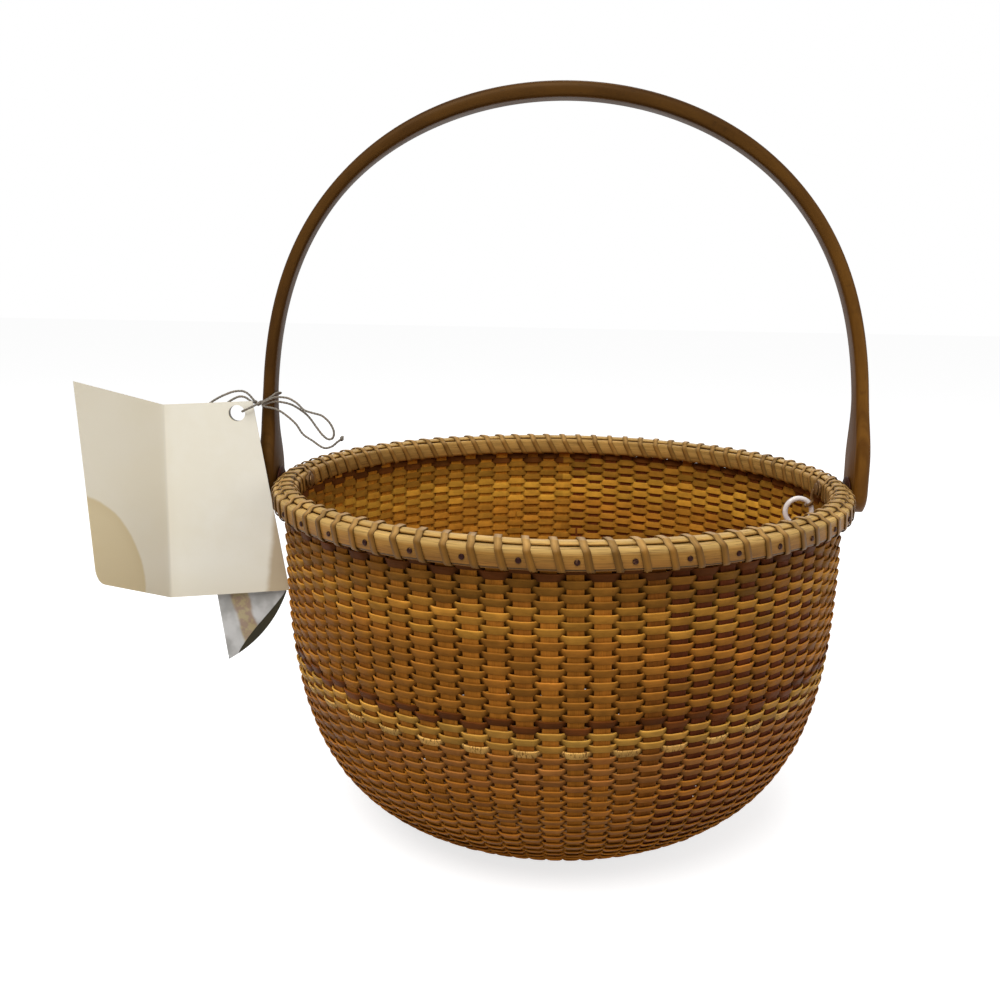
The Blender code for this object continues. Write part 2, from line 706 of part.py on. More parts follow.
def make_card():
    depths = (card_open_y, card_fold_y, card_back_y)
    edges = [[tag_spot(shares, y) for shares in pair]
             for pair, y in zip((open_edge_shares, fold_shares, back_edge_shares), depths)]
    points = sheet_grid(edges, card_columns, card_rows)
    wide = len(points) // (card_rows + 1)
    faces = [(r * wide + c, r * wide + c + 1, (r + 1) * wide + c + 1, (r + 1) * wide + c)
             for r in range(card_rows) for c in range(wide - 1)]
    mesh = bpy.data.meshes.new("tag_card")
    mesh.from_pydata(points, [], faces)
    punched("tag_card", mesh, card_thickness, card_paper)


def make_leaflet():
    """A leaf with a straight top and left side and one bowed edge, low on the right."""
    low, high = [tag_spot(shares, leaf_plane_y) for shares in leaf_bow_shares]
    outwards = Vector((high.z - low.z, 0.0, low.x - high.x)).normalized()
    outline = []
    for step in range(leaf_bow_steps + 1):
        share = step / leaf_bow_steps
        outline.append(low.lerp(high, share) + outwards * leaf_edge_bow * 4 * share * (1 - share))
    outline += [tag_spot(shares, leaf_plane_y) for shares in leaf_top_shares]
    mesh = bpy.data.meshes.new("tag_leaflet")
    mesh.from_pydata(outline, [], [tuple(range(len(outline)))])
    punched("tag_leaflet", mesh, leaf_thickness, leaf_paper)


def ball(name, radius, centre, material):
    mesh = bpy.data.meshes.new(name)
    work = bmesh.new()
    bmesh.ops.create_uvsphere(work, u_segments=knot_steps, v_segments=knot_steps // 2 + 1,
                              radius=radius, matrix=Matrix.Translation(centre))
    work.to_mesh(mesh)
    work.free()
    thing = add_mesh(name, mesh, material)
    shade(thing, math.pi)
    return thing


def make_string():
    ball("string_knot", knot_radius, knot_place, grey_twine)
    for name, route in (("string_collar", collar_route), ("string_bow", bow_route),
                        ("string_left_loop", left_loop_route), ("string_hanger", hanger_route)):
        tube(name, smooth_route(route, twine_step), twine_radius, grey_twine)
    tail = as_mesh(tube("string_tail", smooth_route(tail_route, twine_step), twine_radius,
                        grey_twine))
    end_knot = ball("end_knot", end_knot_radius, Vector(tail_route[-1]) * MM, grey_twine)
    boolean(tail, make_cutter(end_knot), "UNION")


nail_holes = nail_hole_cutter()
pivot_holes = pivot_hole_cutter()
make_base_board()
make_woven_wall(nail_holes, pivot_holes)
make_rims(nail_holes, pivot_holes)
make_lashing()
make_nails()
make_handle(pivot_holes)
make_pivots()
make_card()
make_leaflet()
make_string()
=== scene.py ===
import math
import bpy
import numpy as np
from mathutils import Matrix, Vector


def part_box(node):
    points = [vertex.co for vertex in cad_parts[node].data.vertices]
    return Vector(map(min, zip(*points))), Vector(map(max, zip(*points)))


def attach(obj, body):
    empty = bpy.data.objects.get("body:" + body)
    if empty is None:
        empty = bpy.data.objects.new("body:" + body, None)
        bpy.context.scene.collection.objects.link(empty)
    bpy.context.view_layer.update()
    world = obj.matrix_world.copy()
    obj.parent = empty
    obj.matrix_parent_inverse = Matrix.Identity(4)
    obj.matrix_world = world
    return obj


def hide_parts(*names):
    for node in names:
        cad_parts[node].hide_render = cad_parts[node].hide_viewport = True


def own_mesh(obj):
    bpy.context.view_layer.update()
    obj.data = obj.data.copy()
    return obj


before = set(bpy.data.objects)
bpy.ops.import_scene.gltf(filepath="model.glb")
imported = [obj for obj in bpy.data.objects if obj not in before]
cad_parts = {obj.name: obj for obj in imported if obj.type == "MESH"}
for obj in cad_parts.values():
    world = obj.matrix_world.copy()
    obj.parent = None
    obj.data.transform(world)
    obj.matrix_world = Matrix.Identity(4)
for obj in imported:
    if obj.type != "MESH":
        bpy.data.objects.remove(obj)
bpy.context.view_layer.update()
rng = np.random.default_rng(11)
print("frame loaded:", len(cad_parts), "nodes")

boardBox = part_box("base_board")
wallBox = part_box("woven_wall")
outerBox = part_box("outer_rim")
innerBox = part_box("inner_rim")
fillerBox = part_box("rim_filler")
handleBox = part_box("handle")
boardRadius = boardBox[1].x
boardTop = boardBox[1].z
hoopLow, hoopHigh = outerBox[0].z, outerBox[1].z
hoopRadius = outerBox[1].x
outerHoopThickness = 0.0042
innerHoopThickness = 0.003
fitGap = 0.0003
wallRadius = hoopRadius - outerHoopThickness - fitGap


# camera: stands where the photograph's did, worked out from the rim and wall outlines
view = {
    "distance": 0.437,
    "height": 0.23225,
    "pitch": 11.984,      # degrees down
    "roll": 1.08,         # right side of the picture lower
    "focalPixels": 982.6,
    "centrePixel": 563.6,
    "framePixels": 1000.0,
    "sensor": 36.0,
}


def makeCamera():
    data = bpy.data.cameras.new("camera")
    data.sensor_width = view["sensor"]
    data.lens = view["focalPixels"] / view["framePixels"] * view["sensor"]
    data.shift_x = 0.5 - view["centrePixel"] / view["framePixels"]
    data.clip_start = 0.01
    camera = bpy.data.objects.new("camera", data)
    bpy.context.scene.collection.objects.link(camera)
    tilt = Matrix.Rotation(math.radians(90.0 - view["pitch"]), 4, "X")
    turn = Matrix.Rotation(math.radians(view["roll"]), 4, "Z")
    place = Matrix.Translation((0.0, -view["distance"], view["height"]))
    camera.matrix_world = place @ tilt @ turn
    bpy.context.scene.camera = camera


makeCamera()
bpy.context.scene.view_settings.view_transform = "Standard"
print("camera made")


# meshes from numpy grids

def gridFaces(rings, sides, closedRings=False, closedSides=True):
    # quads between neighbouring rings; rings run right-handed about the way ahead, so faces point out
    i, j = np.meshgrid(np.arange(rings if closedRings else rings - 1),
                       np.arange(sides if closedSides else sides - 1), indexing="ij")
    k, m = (i + 1) % rings, (j + 1) % sides
    return np.stack((i * sides + j, i * sides + m, k * sides + m, k * sides + j), -1).reshape(-1, 4)


def capFaces(rings, sides):
    # one polygon over each open end of a tube
    first = np.arange(sides)[::-1]
    return np.stack((first, (rings - 1) * sides + np.arange(sides)))


def repeatFaces(faces, copies, points):
    # the same faces for several equal strips that follow each other in one mesh
    return (faces[None] + (np.arange(copies) * points)[:, None, None]).reshape(-1, faces.shape[1])


def addPiece(name, points, faceSets, material, body, replaced=(), fibre=None, tint=None):
    # faceSets is a list of arrays of equal polygons; fibre and tint are one row for each point
    points = np.asarray(points, np.float32).reshape(-1, 3)
    mesh = bpy.data.meshes.new(name)
    mesh.vertices.add(len(points))
    mesh.vertices.foreach_set("co", points.ravel())
    corners = np.concatenate([f.ravel() for f in faceSets]).astype(np.int32)
    counts = np.concatenate([np.full(len(f), f.shape[1]) for f in faceSets]).astype(np.int32)
    mesh.loops.add(len(corners))
    mesh.loops.foreach_set("vertex_index", corners)
    mesh.polygons.add(len(counts))
    mesh.polygons.foreach_set("loop_start", np.concatenate(([0], np.cumsum(counts)[:-1])).astype(np.int32))
    mesh.update(calc_edges=True)
    mesh.shade_smooth()
    if fibre is not None:
        spots = mesh.attributes.new("fibre", "FLOAT_VECTOR", "POINT")
        spots.data.foreach_set("vector", np.asarray(fibre, np.float32).ravel())
    if tint is not None:
        colours = np.ones((len(points), 4), np.float32)
        colours[:, :3] = np.asarray(tint).reshape(-1, 3)
        shades = mesh.attributes.new("tint", "FLOAT_COLOR", "POINT")
        shades.data.foreach_set("color", colours.ravel())
    mesh.materials.append(material)
    piece = bpy.data.objects.new(name, mesh)
    bpy.context.scene.collection.objects.link(piece)
    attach(piece, body)
    if replaced:
        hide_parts(*replaced)
    return piece


def addSpots(piece, name, values):
    # a UV map from one (u, v) row for each point, which a boolean cut keeps
    mesh = piece.data
    corners = np.empty(len(mesh.loops), np.int32)
    mesh.loops.foreach_get("vertex_index", corners)
    layer = mesh.uv_layers.new(name=name)
    layer.data.foreach_set("uv", np.asarray(values, np.float32).reshape(-1, 2)[corners].ravel())


def unit(vectors):
    return vectors / np.linalg.norm(vectors, axis=-1, keepdims=True)


def runAlong(line):
    # distance along a line of points, from 0 at its start
    return np.concatenate(([0.0], np.cumsum(np.linalg.norm(np.diff(line, axis=0), axis=1))))


def smoothStep(value, low, high):
    share = np.clip((value - low) / (high - low), 0.0, 1.0)
    return share * share * (3 - 2 * share)


def spun(profile, steps):
    # a (radius, height) profile carried round Z, one ring of points for each step
    angles = np.linspace(0.0, 2 * math.pi, steps, endpoint=False)
    points = np.empty((steps, len(profile), 3))
    points[..., 0] = profile[:, 0] * np.cos(angles)[:, None]
    points[..., 1] = profile[:, 0] * np.sin(angles)[:, None]
    points[..., 2] = profile[:, 1]
    return points


def turned(profile, steps):
    # a closed (radius, height) outline that runs down its outer side, carried round Z
    profile = np.asarray(profile, float)
    return spun(profile, steps), gridFaces(steps, len(profile), closedRings=True)


def turnedCapped(profile, steps):
    # an outline from the axis to the axis, carried round Z, with a fan of triangles at each pole
    profile = np.asarray(profile, float)
    points = spun(profile[1:-1], steps)
    poles = np.array([(0.0, 0.0, profile[0, 1]), (0.0, 0.0, profile[-1, 1])])
    sides = len(profile) - 2
    i = np.arange(steps)
    j = (i + 1) % steps
    first = np.full(steps, steps * sides)
    fans = np.concatenate((np.stack((first, i * sides, j * sides), 1),
                           np.stack((first + 1, j * sides + sides - 1, i * sides + sides - 1), 1)))
    quads = gridFaces(steps, sides, closedRings=True, closedSides=False)
    return np.concatenate((points.reshape(-1, 3), poles)), [quads, fans]


def layAlongX(points, side, height):
    # turns a shape made round Z so that its +Z points out along X on one side of the basket
    laid = np.empty_like(points)
    laid[..., 0] = side * points[..., 2]
    laid[..., 1] = side * points[..., 1]
    laid[..., 2] = height - points[..., 0]
    return laid


def roundedBar(halfWide, halfThick, corner, crown):
    # ten points round a flat strip: bevelled edges and a slightly crowned face on both sides
    a, b, c = halfWide, halfThick, corner
    return np.stack([np.broadcast_arrays(u, v) for u, v in (
        (a, c - b), (a, b - c), (a - c, b), (0.0 * a, b + crown), (c - a, b),
        (-a, b - c), (-a, c - b), (c - a, -b), (0.0 * a, -b - crown), (a - c, -b))])


def sweep(path, across, outward, section):
    # carries a section of (across, outward) pairs along a path
    return path[:, None] + across[:, None] * section[..., 0, None] + outward[:, None] * section[..., 1, None]


# materials

def addNode(tree, kind, settings=None, **inputs):
    made = tree.nodes.new("ShaderNode" + kind)
    for key, value in (settings or {}).items():
        setattr(made, key, value)
    for key, value in inputs.items():
        place = int(key[1:]) if key[0] == "n" and key[1:].isdigit() else key.replace("_", " ")
        if isinstance(value, bpy.types.NodeSocket):
            tree.links.new(value, made.inputs[place])
        else:
            made.inputs[place].default_value = value
    return made.outputs


def mixColours(tree, factor, first, second, blend="MIX"):
    return addNode(tree, "Mix", {"data_type": "RGBA", "blend_type": blend}, n0=factor, n6=first, n7=second)[2]


def sums(tree, operation, first, second=0.0):
    return addNode(tree, "Math", {"operation": operation}, n0=first, n1=second)[0]


def between(tree, value, low, high):
    # 0 below low, 1 above high, smooth between them
    return addNode(tree, "MapRange", {"interpolation_type": "SMOOTHSTEP"},
                   n0=value, n1=low, n2=high, n3=0.0, n4=1.0)[0]


def noise(tree, vector, scale, detail=3.0, roughness=0.5):
    return addNode(tree, "TexNoise", Vector=vector, Scale=scale, Detail=detail, Roughness=roughness)[0]


def stretched(tree, vector, scales):
    return addNode(tree, "VectorMath", {"operation": "MULTIPLY"}, n0=vector, n1=scales)[0]


def grained(tree, fibre, length, width, detail, roughness=0.5, layer=1.0):
    # noise drawn out along the fibre, about this long and wide
    return noise(tree, stretched(tree, fibre, (1 / length, 1 / width, layer)), 1.0, detail, roughness)


def aroundOne(tree, value, low, high, depth):
    # a shade that goes from 1 - depth at low to 1 + depth at high
    return addNode(tree, "MapRange", n0=value, n1=low, n2=high, n3=1.0 - depth, n4=1.0 + depth)[0]


def newMaterial(name, **values):
    material = bpy.data.materials.new(name)
    material.use_nodes = True
    shader = material.node_tree.nodes["Principled BSDF"]
    for key, value in values.items():
        shader.inputs[key.replace("_", " ")].default_value = value
    return material, material.node_tree, shader


def setInputs(tree, shader, **sockets):
    for key, socket in sockets.items():
        tree.links.new(socket, shader.inputs[key.replace("_", " ")])


def caneMaterial(name, look):
    # split cane: the tint painted on the piece, darker and lighter fibres along it, and dark flecks
    material, tree, shader = newMaterial(name, Roughness=look["roughness"], Coat_Weight=look["coat"],
                                         Coat_Roughness=look["coatRoughness"],
                                         Specular_IOR_Level=look["specular"],
                                         Specular_Tint=(*look["sheenColour"], 1.0))
    fibre = addNode(tree, "Attribute", {"attribute_name": "fibre"})["Vector"]
    tint = addNode(tree, "Attribute", {"attribute_name": "tint"})["Color"]
    streak = grained(tree, fibre, look["fibreLength"], look["fibreWidth"], 4.0, 0.65)
    blotch = grained(tree, fibre, look["blotchLength"], look["blotchWidth"], 2.0)
    shade = sums(tree, "MULTIPLY", aroundOne(tree, streak, 0.25, 0.75, look["streakDepth"]),
                 aroundOne(tree, blotch, 0.3, 0.7, look["blotchDepth"]))
    colour = addNode(tree, "VectorMath", {"operation": "SCALE"}, n0=tint, Scale=shade)[0]
    flecks = grained(tree, fibre, look["fleckLength"], look["fleckWidth"], 1.0, layer=3.0)
    fleckMask = between(tree, flecks, look["fleckStart"], look["fleckStart"] + 0.08)
    fleckMask = sums(tree, "MULTIPLY", fleckMask, look["fleckDepth"])
    colour = mixColours(tree, fleckMask, colour, (*look["fleckColour"], 1.0))
    height = sums(tree, "ADD", streak, sums(tree, "MULTIPLY", blotch, 0.5))
    normal = addNode(tree, "Bump", Strength=look["bump"], Distance=look["bumpDistance"], Height=height)[0]
    setInputs(tree, shader, Base_Color=colour, Normal=normal)
    return material


weaverLook = {
    "roughness": 0.58, "coat": 0.0, "coatRoughness": 0.3, "specular": 0.08, "sheenColour": (1.0, 0.55, 0.2),
    "fibreLength": 0.01, "fibreWidth": 0.00024, "streakDepth": 0.16,
    "blotchLength": 0.005, "blotchWidth": 0.003, "blotchDepth": 0.16,
    "fleckStart": 0.66, "fleckLength": 0.0016, "fleckWidth": 0.00025, "fleckDepth": 0.35,
    "fleckColour": (0.08, 0.02, 0.004),
    "bump": 0.35, "bumpDistance": 0.00006,
}
crackedLook = dict(weaverLook, fleckStart=0.55, fleckLength=0.0003, fleckWidth=0.0018, fleckDepth=0.85,
                   streakDepth=0.1, fleckColour=(0.12, 0.045, 0.01))
hoopLook = {
    "roughness": 0.46, "coat": 0.0, "coatRoughness": 0.28, "specular": 0.3, "sheenColour": (1.0, 0.74, 0.42),
    "fibreLength": 0.03, "fibreWidth": 0.00026, "streakDepth": 0.36,
    "blotchLength": 0.02, "blotchWidth": 0.004, "blotchDepth": 0.18,
    "fleckStart": 0.62, "fleckLength": 0.011, "fleckWidth": 0.00022, "fleckDepth": 0.75,
    "fleckColour": (0.07, 0.022, 0.005),
    "bump": 0.5, "bumpDistance": 0.00012,
}
lashingLook = dict(hoopLook, roughness=0.42, specular=0.26, fibreLength=0.015, fibreWidth=0.0003,
                   streakDepth=0.16, blotchLength=0.008, fleckDepth=0.25, bump=0.3, bumpDistance=0.00006)
weaverCane = caneMaterial("weaver_cane", weaverLook)
crackedCane = caneMaterial("cracked_cane", crackedLook)
staveCane = caneMaterial("stave_cane", dict(weaverLook, fibreLength=0.02, fibreWidth=0.0003,
                                            streakDepth=0.24))
hoopCane = caneMaterial("hoop_cane", hoopLook)
lashingCane = caneMaterial("lashing_cane", lashingLook)


def woodMaterial(name, look):
    # fine grain along the piece, with darker pores, over the tint painted on it
    material, tree, shader = newMaterial(name, Coat_Weight=look["coat"], Coat_Roughness=look["coatRoughness"],
                                         Specular_IOR_Level=look["specular"],
                                         Specular_Tint=(*look["sheenColour"], 1.0))
    fibre = addNode(tree, "Attribute", {"attribute_name": "fibre"})["Vector"]
    tint = addNode(tree, "Attribute", {"attribute_name": "tint"})["Color"]
    bend = noise(tree, stretched(tree, fibre, look["bendScales"]), 1.0, 2.0)
    shifted = addNode(tree, "CombineXYZ", X=0.0, Y=sums(tree, "MULTIPLY", bend, look["wander"]), Z=0.0)[0]
    grainPlace = addNode(tree, "VectorMath", {"operation": "ADD"}, n0=fibre, n1=shifted)[0]
    grain = grained(tree, grainPlace, look["grainLength"], look["grainWidth"], 5.0, 0.6)
    pores = grained(tree, fibre, look["poreLength"], look["poreWidth"], 2.0)
    light = mixColours(tree, between(tree, grain, 0.3, 0.7), (*look["dark"], 1.0), (*look["light"], 1.0))
    poreMask = sums(tree, "MULTIPLY", between(tree, pores, 0.58, 0.72), look["poreDepth"])
    colour = mixColours(tree, poreMask, light, (*look["poreColour"], 1.0))
    colour = mixColours(tree, 1.0, colour, tint, "MULTIPLY")
    worn = noise(tree, stretched(tree, fibre, look["wornScales"]), 1.0, 2.0)
    rough = addNode(tree, "MapRange", n0=worn, n1=0.3, n2=0.7, n3=look["gloss"][0], n4=look["gloss"][1])[0]
    height = sums(tree, "SUBTRACT", grain, sums(tree, "MULTIPLY", poreMask, 0.8))
    normal = addNode(tree, "Bump", Strength=look["bump"], Distance=0.0001, Height=height)[0]
    setInputs(tree, shader, Base_Color=colour, Roughness=rough, Normal=normal)
    return material


handleLook = {
    "dark": (0.052, 0.019, 0.0022), "light": (0.094, 0.038, 0.005), "poreColour": (0.022, 0.008, 0.0015),
    "grainLength": 0.05, "grainWidth": 0.0016, "poreLength": 0.004, "poreWidth": 0.00022, "poreDepth": 0.3,
    "wander": 0.0016, "gloss": (0.44, 0.56), "coat": 0.0, "coatRoughness": 0.2, "specular": 0.2,
    "sheenColour": (1.0, 0.68, 0.38), "bump": 0.2,
    "bendScales": (14.0, 60.0, 1.0), "wornScales": (30.0, 120.0, 1.0),   # waves a metre
}
boardLook = dict(handleLook, dark=(0.15, 0.06, 0.015), light=(0.27, 0.125, 0.034), grainLength=0.04,
                 grainWidth=0.0016, gloss=(0.4, 0.52), wander=0.004)
darkWoodLook = dict(handleLook, dark=(0.02, 0.004, 0.003), light=(0.045, 0.01, 0.006),
                    poreColour=(0.008, 0.002, 0.002))
handleWood = woodMaterial("handle_wood", handleLook)
boardWood = woodMaterial("board_wood", boardLook)
darkWood = woodMaterial("dark_wood", darkWoodLook)


metalLook = {
    "patchScale": 900.0, "rubbed": (0.52, 0.68), "gloss": (0.6, 0.42), "bump": 0.3, "bumpDistance": 0.00005,
    "agedTarnish": (0.034, 0.014, 0.012), "agedBright": (0.1, 0.05, 0.025),
    "paleTarnish": (0.16, 0.075, 0.018), "paleBright": (0.3, 0.16, 0.05),
}


def metalMaterial(name, tarnish, bright, metallic):
    # darkened brass: brown tarnish with brighter rubbed spots
    material, tree, shader = newMaterial(name, Metallic=metallic)
    coords = addNode(tree, "TexCoord")["Object"]
    patches = noise(tree, coords, metalLook["patchScale"], 3.0)
    rubbed = between(tree, patches, *metalLook["rubbed"])
    colour = mixColours(tree, rubbed, (*metalLook[tarnish], 1.0), (*metalLook[bright], 1.0))
    dull, glossy = metalLook["gloss"]
    rough = addNode(tree, "MapRange", n0=patches, n1=0.3, n2=0.7, n3=dull, n4=glossy)[0]
    normal = addNode(tree, "Bump", Strength=metalLook["bump"], Distance=metalLook["bumpDistance"],
                     Height=patches)[0]
    setInputs(tree, shader, Base_Color=colour, Roughness=rough, Normal=normal)
    return material


ringLook = {"white": (0.92, 0.86, 0.83), "warm": (0.84, 0.74, 0.68), "cloudScale": 260.0, "fineScale": 1500.0,
            "bump": 0.15, "bumpDistance": 0.00005}


def ringMaterial():
    # smooth off-white with a faint warm mottling
    material, tree, shader = newMaterial("white_ring", Roughness=0.24, Coat_Weight=0.4, Coat_Roughness=0.1,
                                         Specular_IOR_Level=0.5)
    coords = addNode(tree, "TexCoord")["Object"]
    clouds = between(tree, noise(tree, coords, ringLook["cloudScale"], 3.0), 0.35, 0.7)
    colour = mixColours(tree, clouds, (*ringLook["white"], 1.0), (*ringLook["warm"], 1.0))
    fine = noise(tree, coords, ringLook["fineScale"], 2.0)
    normal = addNode(tree, "Bump", Strength=ringLook["bump"], Distance=ringLook["bumpDistance"],
                     Height=fine)[0]
    setInputs(tree, shader, Base_Color=colour, Normal=normal)
    return material


# the groove colour is painted shade for the grooves between the plies
twineLook = {"dark": (0.15, 0.128, 0.1), "pale": (0.44, 0.4, 0.335), "groove": (0.06, 0.047, 0.036),
             "warm": (0.3, 0.2, 0.12), "grooveDepth": 0.7, "warmDepth": 0.3,
             "threadScales": (900.0, 7000.0, 0.0), "patchScales": (120.0, 0.0, 0.0),
             "bump": 0.6, "bumpDistance": 0.00008}


def twineMaterial():
    # two plies of dull grey-tan fibre, with painted shade in the grooves of the twist
    material, tree, shader = newMaterial("grey_twine", Roughness=0.85, Specular_IOR_Level=0.2)
    fibre = addNode(tree, "Attribute", {"attribute_name": "fibre"})["Vector"]
    depth = addNode(tree, "SeparateXYZ", Vector=fibre)[2]
    threads = noise(tree, stretched(tree, fibre, twineLook["threadScales"]), 1.0, 3.0, 0.7)
    patches = noise(tree, stretched(tree, fibre, twineLook["patchScales"]), 1.0, 2.0)
    # painted shade: darker the deeper a point lies in the groove between the plies
    groove = sums(tree, "MULTIPLY", depth, twineLook["grooveDepth"])
    warm = sums(tree, "MULTIPLY", between(tree, patches, 0.4, 0.7), twineLook["warmDepth"])
    colour = mixColours(tree, between(tree, threads, 0.3, 0.75), (*twineLook["dark"], 1.0),
                        (*twineLook["pale"], 1.0))
    colour = mixColours(tree, groove, colour, (*twineLook["groove"], 1.0))
    colour = mixColours(tree, warm, colour, (*twineLook["warm"], 1.0))
    normal = addNode(tree, "Bump", Strength=twineLook["bump"], Distance=twineLook["bumpDistance"],
                     Height=threads)[0]
    setInputs(tree, shader, Base_Color=colour, Normal=normal)
    return material


agedBrass = metalMaterial("aged_brass", "agedTarnish", "agedBright", 1.0)
paleBrass = metalMaterial("pale_brass", "paleTarnish", "paleBright", 0.3)
whiteRing = ringMaterial()
greyTwine = twineMaterial()
print("materials made")


# twine: one grey two-ply cord, tied round the left leg; the routes are in metres
twine = {"radius": 0.0005, "step": 0.0004, "sides": 12, "twistLength": 0.0026, "groove": 0.26, "fray": 0.05,
         "knotRadius": 0.0014, "endKnotRadius": 0.0009, "knotTurn": 0.4, "endKnotTurn": 1.3, "knotSteps": 90,
         "squashKeep": 0.1, "squashOffset": 0.0025, "routeSteps": 12}
knotPlace = np.array((-0.1336, -0.0089, 0.182))
collarRoute = (
    (-0.1325, -0.0084, 0.1826), (-0.1311, -0.0072, 0.1834), (-0.1292, -0.0064, 0.1846),
    (-0.1281, -0.0054, 0.1856), (-0.1277, -0.0025, 0.186), (-0.1277, 0.0025, 0.1856),
    (-0.1284, 0.0054, 0.1851), (-0.131, 0.0062, 0.184), (-0.1337, 0.0055, 0.1829),
    (-0.1346, 0.0025, 0.1822), (-0.1346, -0.0025, 0.1819), (-0.1343, -0.0065, 0.1819))
bowRoute = (
    (-0.1325, -0.0089, 0.1824), (-0.1309, -0.0089, 0.1829), (-0.1283, -0.0086, 0.1842),
    (-0.1257, -0.0083, 0.1848),
    (-0.1213, -0.0082, 0.1844), (-0.1175, -0.0086, 0.1824), (-0.1141, -0.009, 0.1794),
    (-0.1104, -0.0091, 0.1782), (-0.1064, -0.009, 0.177), (-0.1032, -0.009, 0.174),
    (-0.1015, -0.009, 0.1704), (-0.102, -0.0089, 0.1674), (-0.1042, -0.0086, 0.1667),
    (-0.1068, -0.0082, 0.1686), (-0.1094, -0.0078, 0.1719), (-0.1123, -0.0073, 0.1758),
    (-0.1151, -0.0071, 0.1784), (-0.1202, -0.0072, 0.1815), (-0.1257, -0.0075, 0.1827),
    (-0.1286, -0.0077, 0.1825), (-0.131, -0.008, 0.1817), (-0.1324, -0.0086, 0.1816))
tailRoute = (
    (-0.1327, -0.0088, 0.1812), (-0.1312, -0.0086, 0.1805), (-0.1288, -0.0082, 0.18),
    (-0.1263, -0.008, 0.1793),
    (-0.1226, -0.0077, 0.1769), (-0.1184, -0.0076, 0.173), (-0.1155, -0.0075, 0.1686),
    (-0.1112, -0.0075, 0.1656), (-0.1068, -0.0075, 0.1627), (-0.1033, -0.0075, 0.1631),
    (-0.1004, -0.0075, 0.1653), (-0.0984, -0.0075, 0.1669))
leftLoopRoute = (
    (-0.1345, -0.009, 0.1826), (-0.1359, -0.0092, 0.1834), (-0.1379, -0.0089, 0.1856),
    (-0.1406, -0.0086, 0.1871),
    (-0.1446, -0.0084, 0.1869), (-0.149, -0.0084, 0.1853), (-0.153, -0.0086, 0.1832),
    (-0.1564, -0.0088, 0.1807), (-0.1579, -0.0089, 0.1786), (-0.1562, -0.0088, 0.177),
    (-0.1526, -0.0085, 0.1785), (-0.1484, -0.0082, 0.1815), (-0.1452, -0.008, 0.1836),
    (-0.1424, -0.0079, 0.1847), (-0.1398, -0.008, 0.1843), (-0.1373, -0.0082, 0.1826),
    (-0.1352, -0.0086, 0.182))
hangerRoute = (
    (-0.1327, -0.0116, 0.1824), (-0.133, -0.013, 0.1822), (-0.1346, -0.0142, 0.1814),
    (-0.1368, -0.0146, 0.1803), (-0.1388, -0.0142, 0.1794), (-0.14, -0.0129, 0.1788),
    (-0.1402, -0.0112, 0.1787), (-0.1397, -0.0097, 0.1789), (-0.1383, -0.009, 0.1797),
    (-0.1366, -0.0089, 0.1807))


def smoothRoute(route, step):
    # Catmull-Rom through the route's points, then points at even steps
    points = np.array(route)
    ends = np.vstack((2 * points[0] - points[1], points, 2 * points[-1] - points[-2]))
    share = np.linspace(0.0, 1.0, twine["routeSteps"], endpoint=False)[None, :, None]
    a, b, c, d = (ends[k:len(ends) - 3 + k, None] for k in range(4))
    dense = 0.5 * (2 * b + (c - a) * share + (2 * a - 5 * b + 4 * c - d) * share ** 2
                   + (3 * b - a - 3 * c + d) * share ** 3)
    return evenSteps(np.vstack((dense.reshape(-1, 3), points[-1:])), step)


def evenSteps(line, step):
    run = runAlong(line)
    places = np.linspace(0.0, run[-1], max(4, int(round(run[-1] / step)) + 1))
    return np.stack([np.interp(places, run, line[:, k]) for k in range(3)], axis=1)


def lineFrames(path, up=(0.13, 0.31, 0.94)):
    # side and face at each point, with the side kept level against a fixed slanted up
    ahead = unit(np.gradient(path, axis=0))
    side = unit(np.cross(np.array(up), ahead))
    return side, np.cross(ahead, side)


def twineTube(name, path, nodes):
    # a tube whose section has two lobes that turn along the path, as two twisted plies do
    radius = twine["radius"]
    side, face = lineFrames(path)
    run = runAlong(path)
    around = np.linspace(0.0, 2 * math.pi, twine["sides"], endpoint=False)
    lobe = np.abs(np.cos(around[None] - 2 * math.pi * run[:, None] / twine["twistLength"]))
    reach = radius * (1.0 - twine["groove"] * (1.0 - lobe) ** 1.5)
    fray = 1.0 + twine["fray"] * rng.standard_normal(reach.shape)
    section = np.stack((np.cos(around) * reach * fray, np.sin(around) * reach * fray), -1)
    points = sweep(path, side, face, section)
    # the third value is how deep the point lies in the groove, which the material turns into painted shade
    fibre = np.stack(np.broadcast_arrays(run[:, None], around[None] * radius, 1.0 - lobe), -1)
    rings, sides = reach.shape
    return addPiece(name, points, [gridFaces(rings, sides), capFaces(rings, sides)], greyTwine,
                    "handle", nodes, fibre=fibre)


def knotPath(centre, radius, turn):
    # a trefoil: (sin t + 2 sin 2t, cos t - 2 cos 2t, -sin 3t), scaled and turned round Z
    t = np.linspace(0.0, 2 * math.pi, twine["knotSteps"])
    x, y, z = np.sin(t) + 2 * np.sin(2 * t), np.cos(t) - 2 * np.cos(2 * t), -np.sin(3 * t)
    cosine, sine = math.cos(turn), math.sin(turn)
    shape = np.stack((x * cosine - z * sine, y, x * sine + z * cosine), -1)
    return centre + shape * (radius / 3.0)


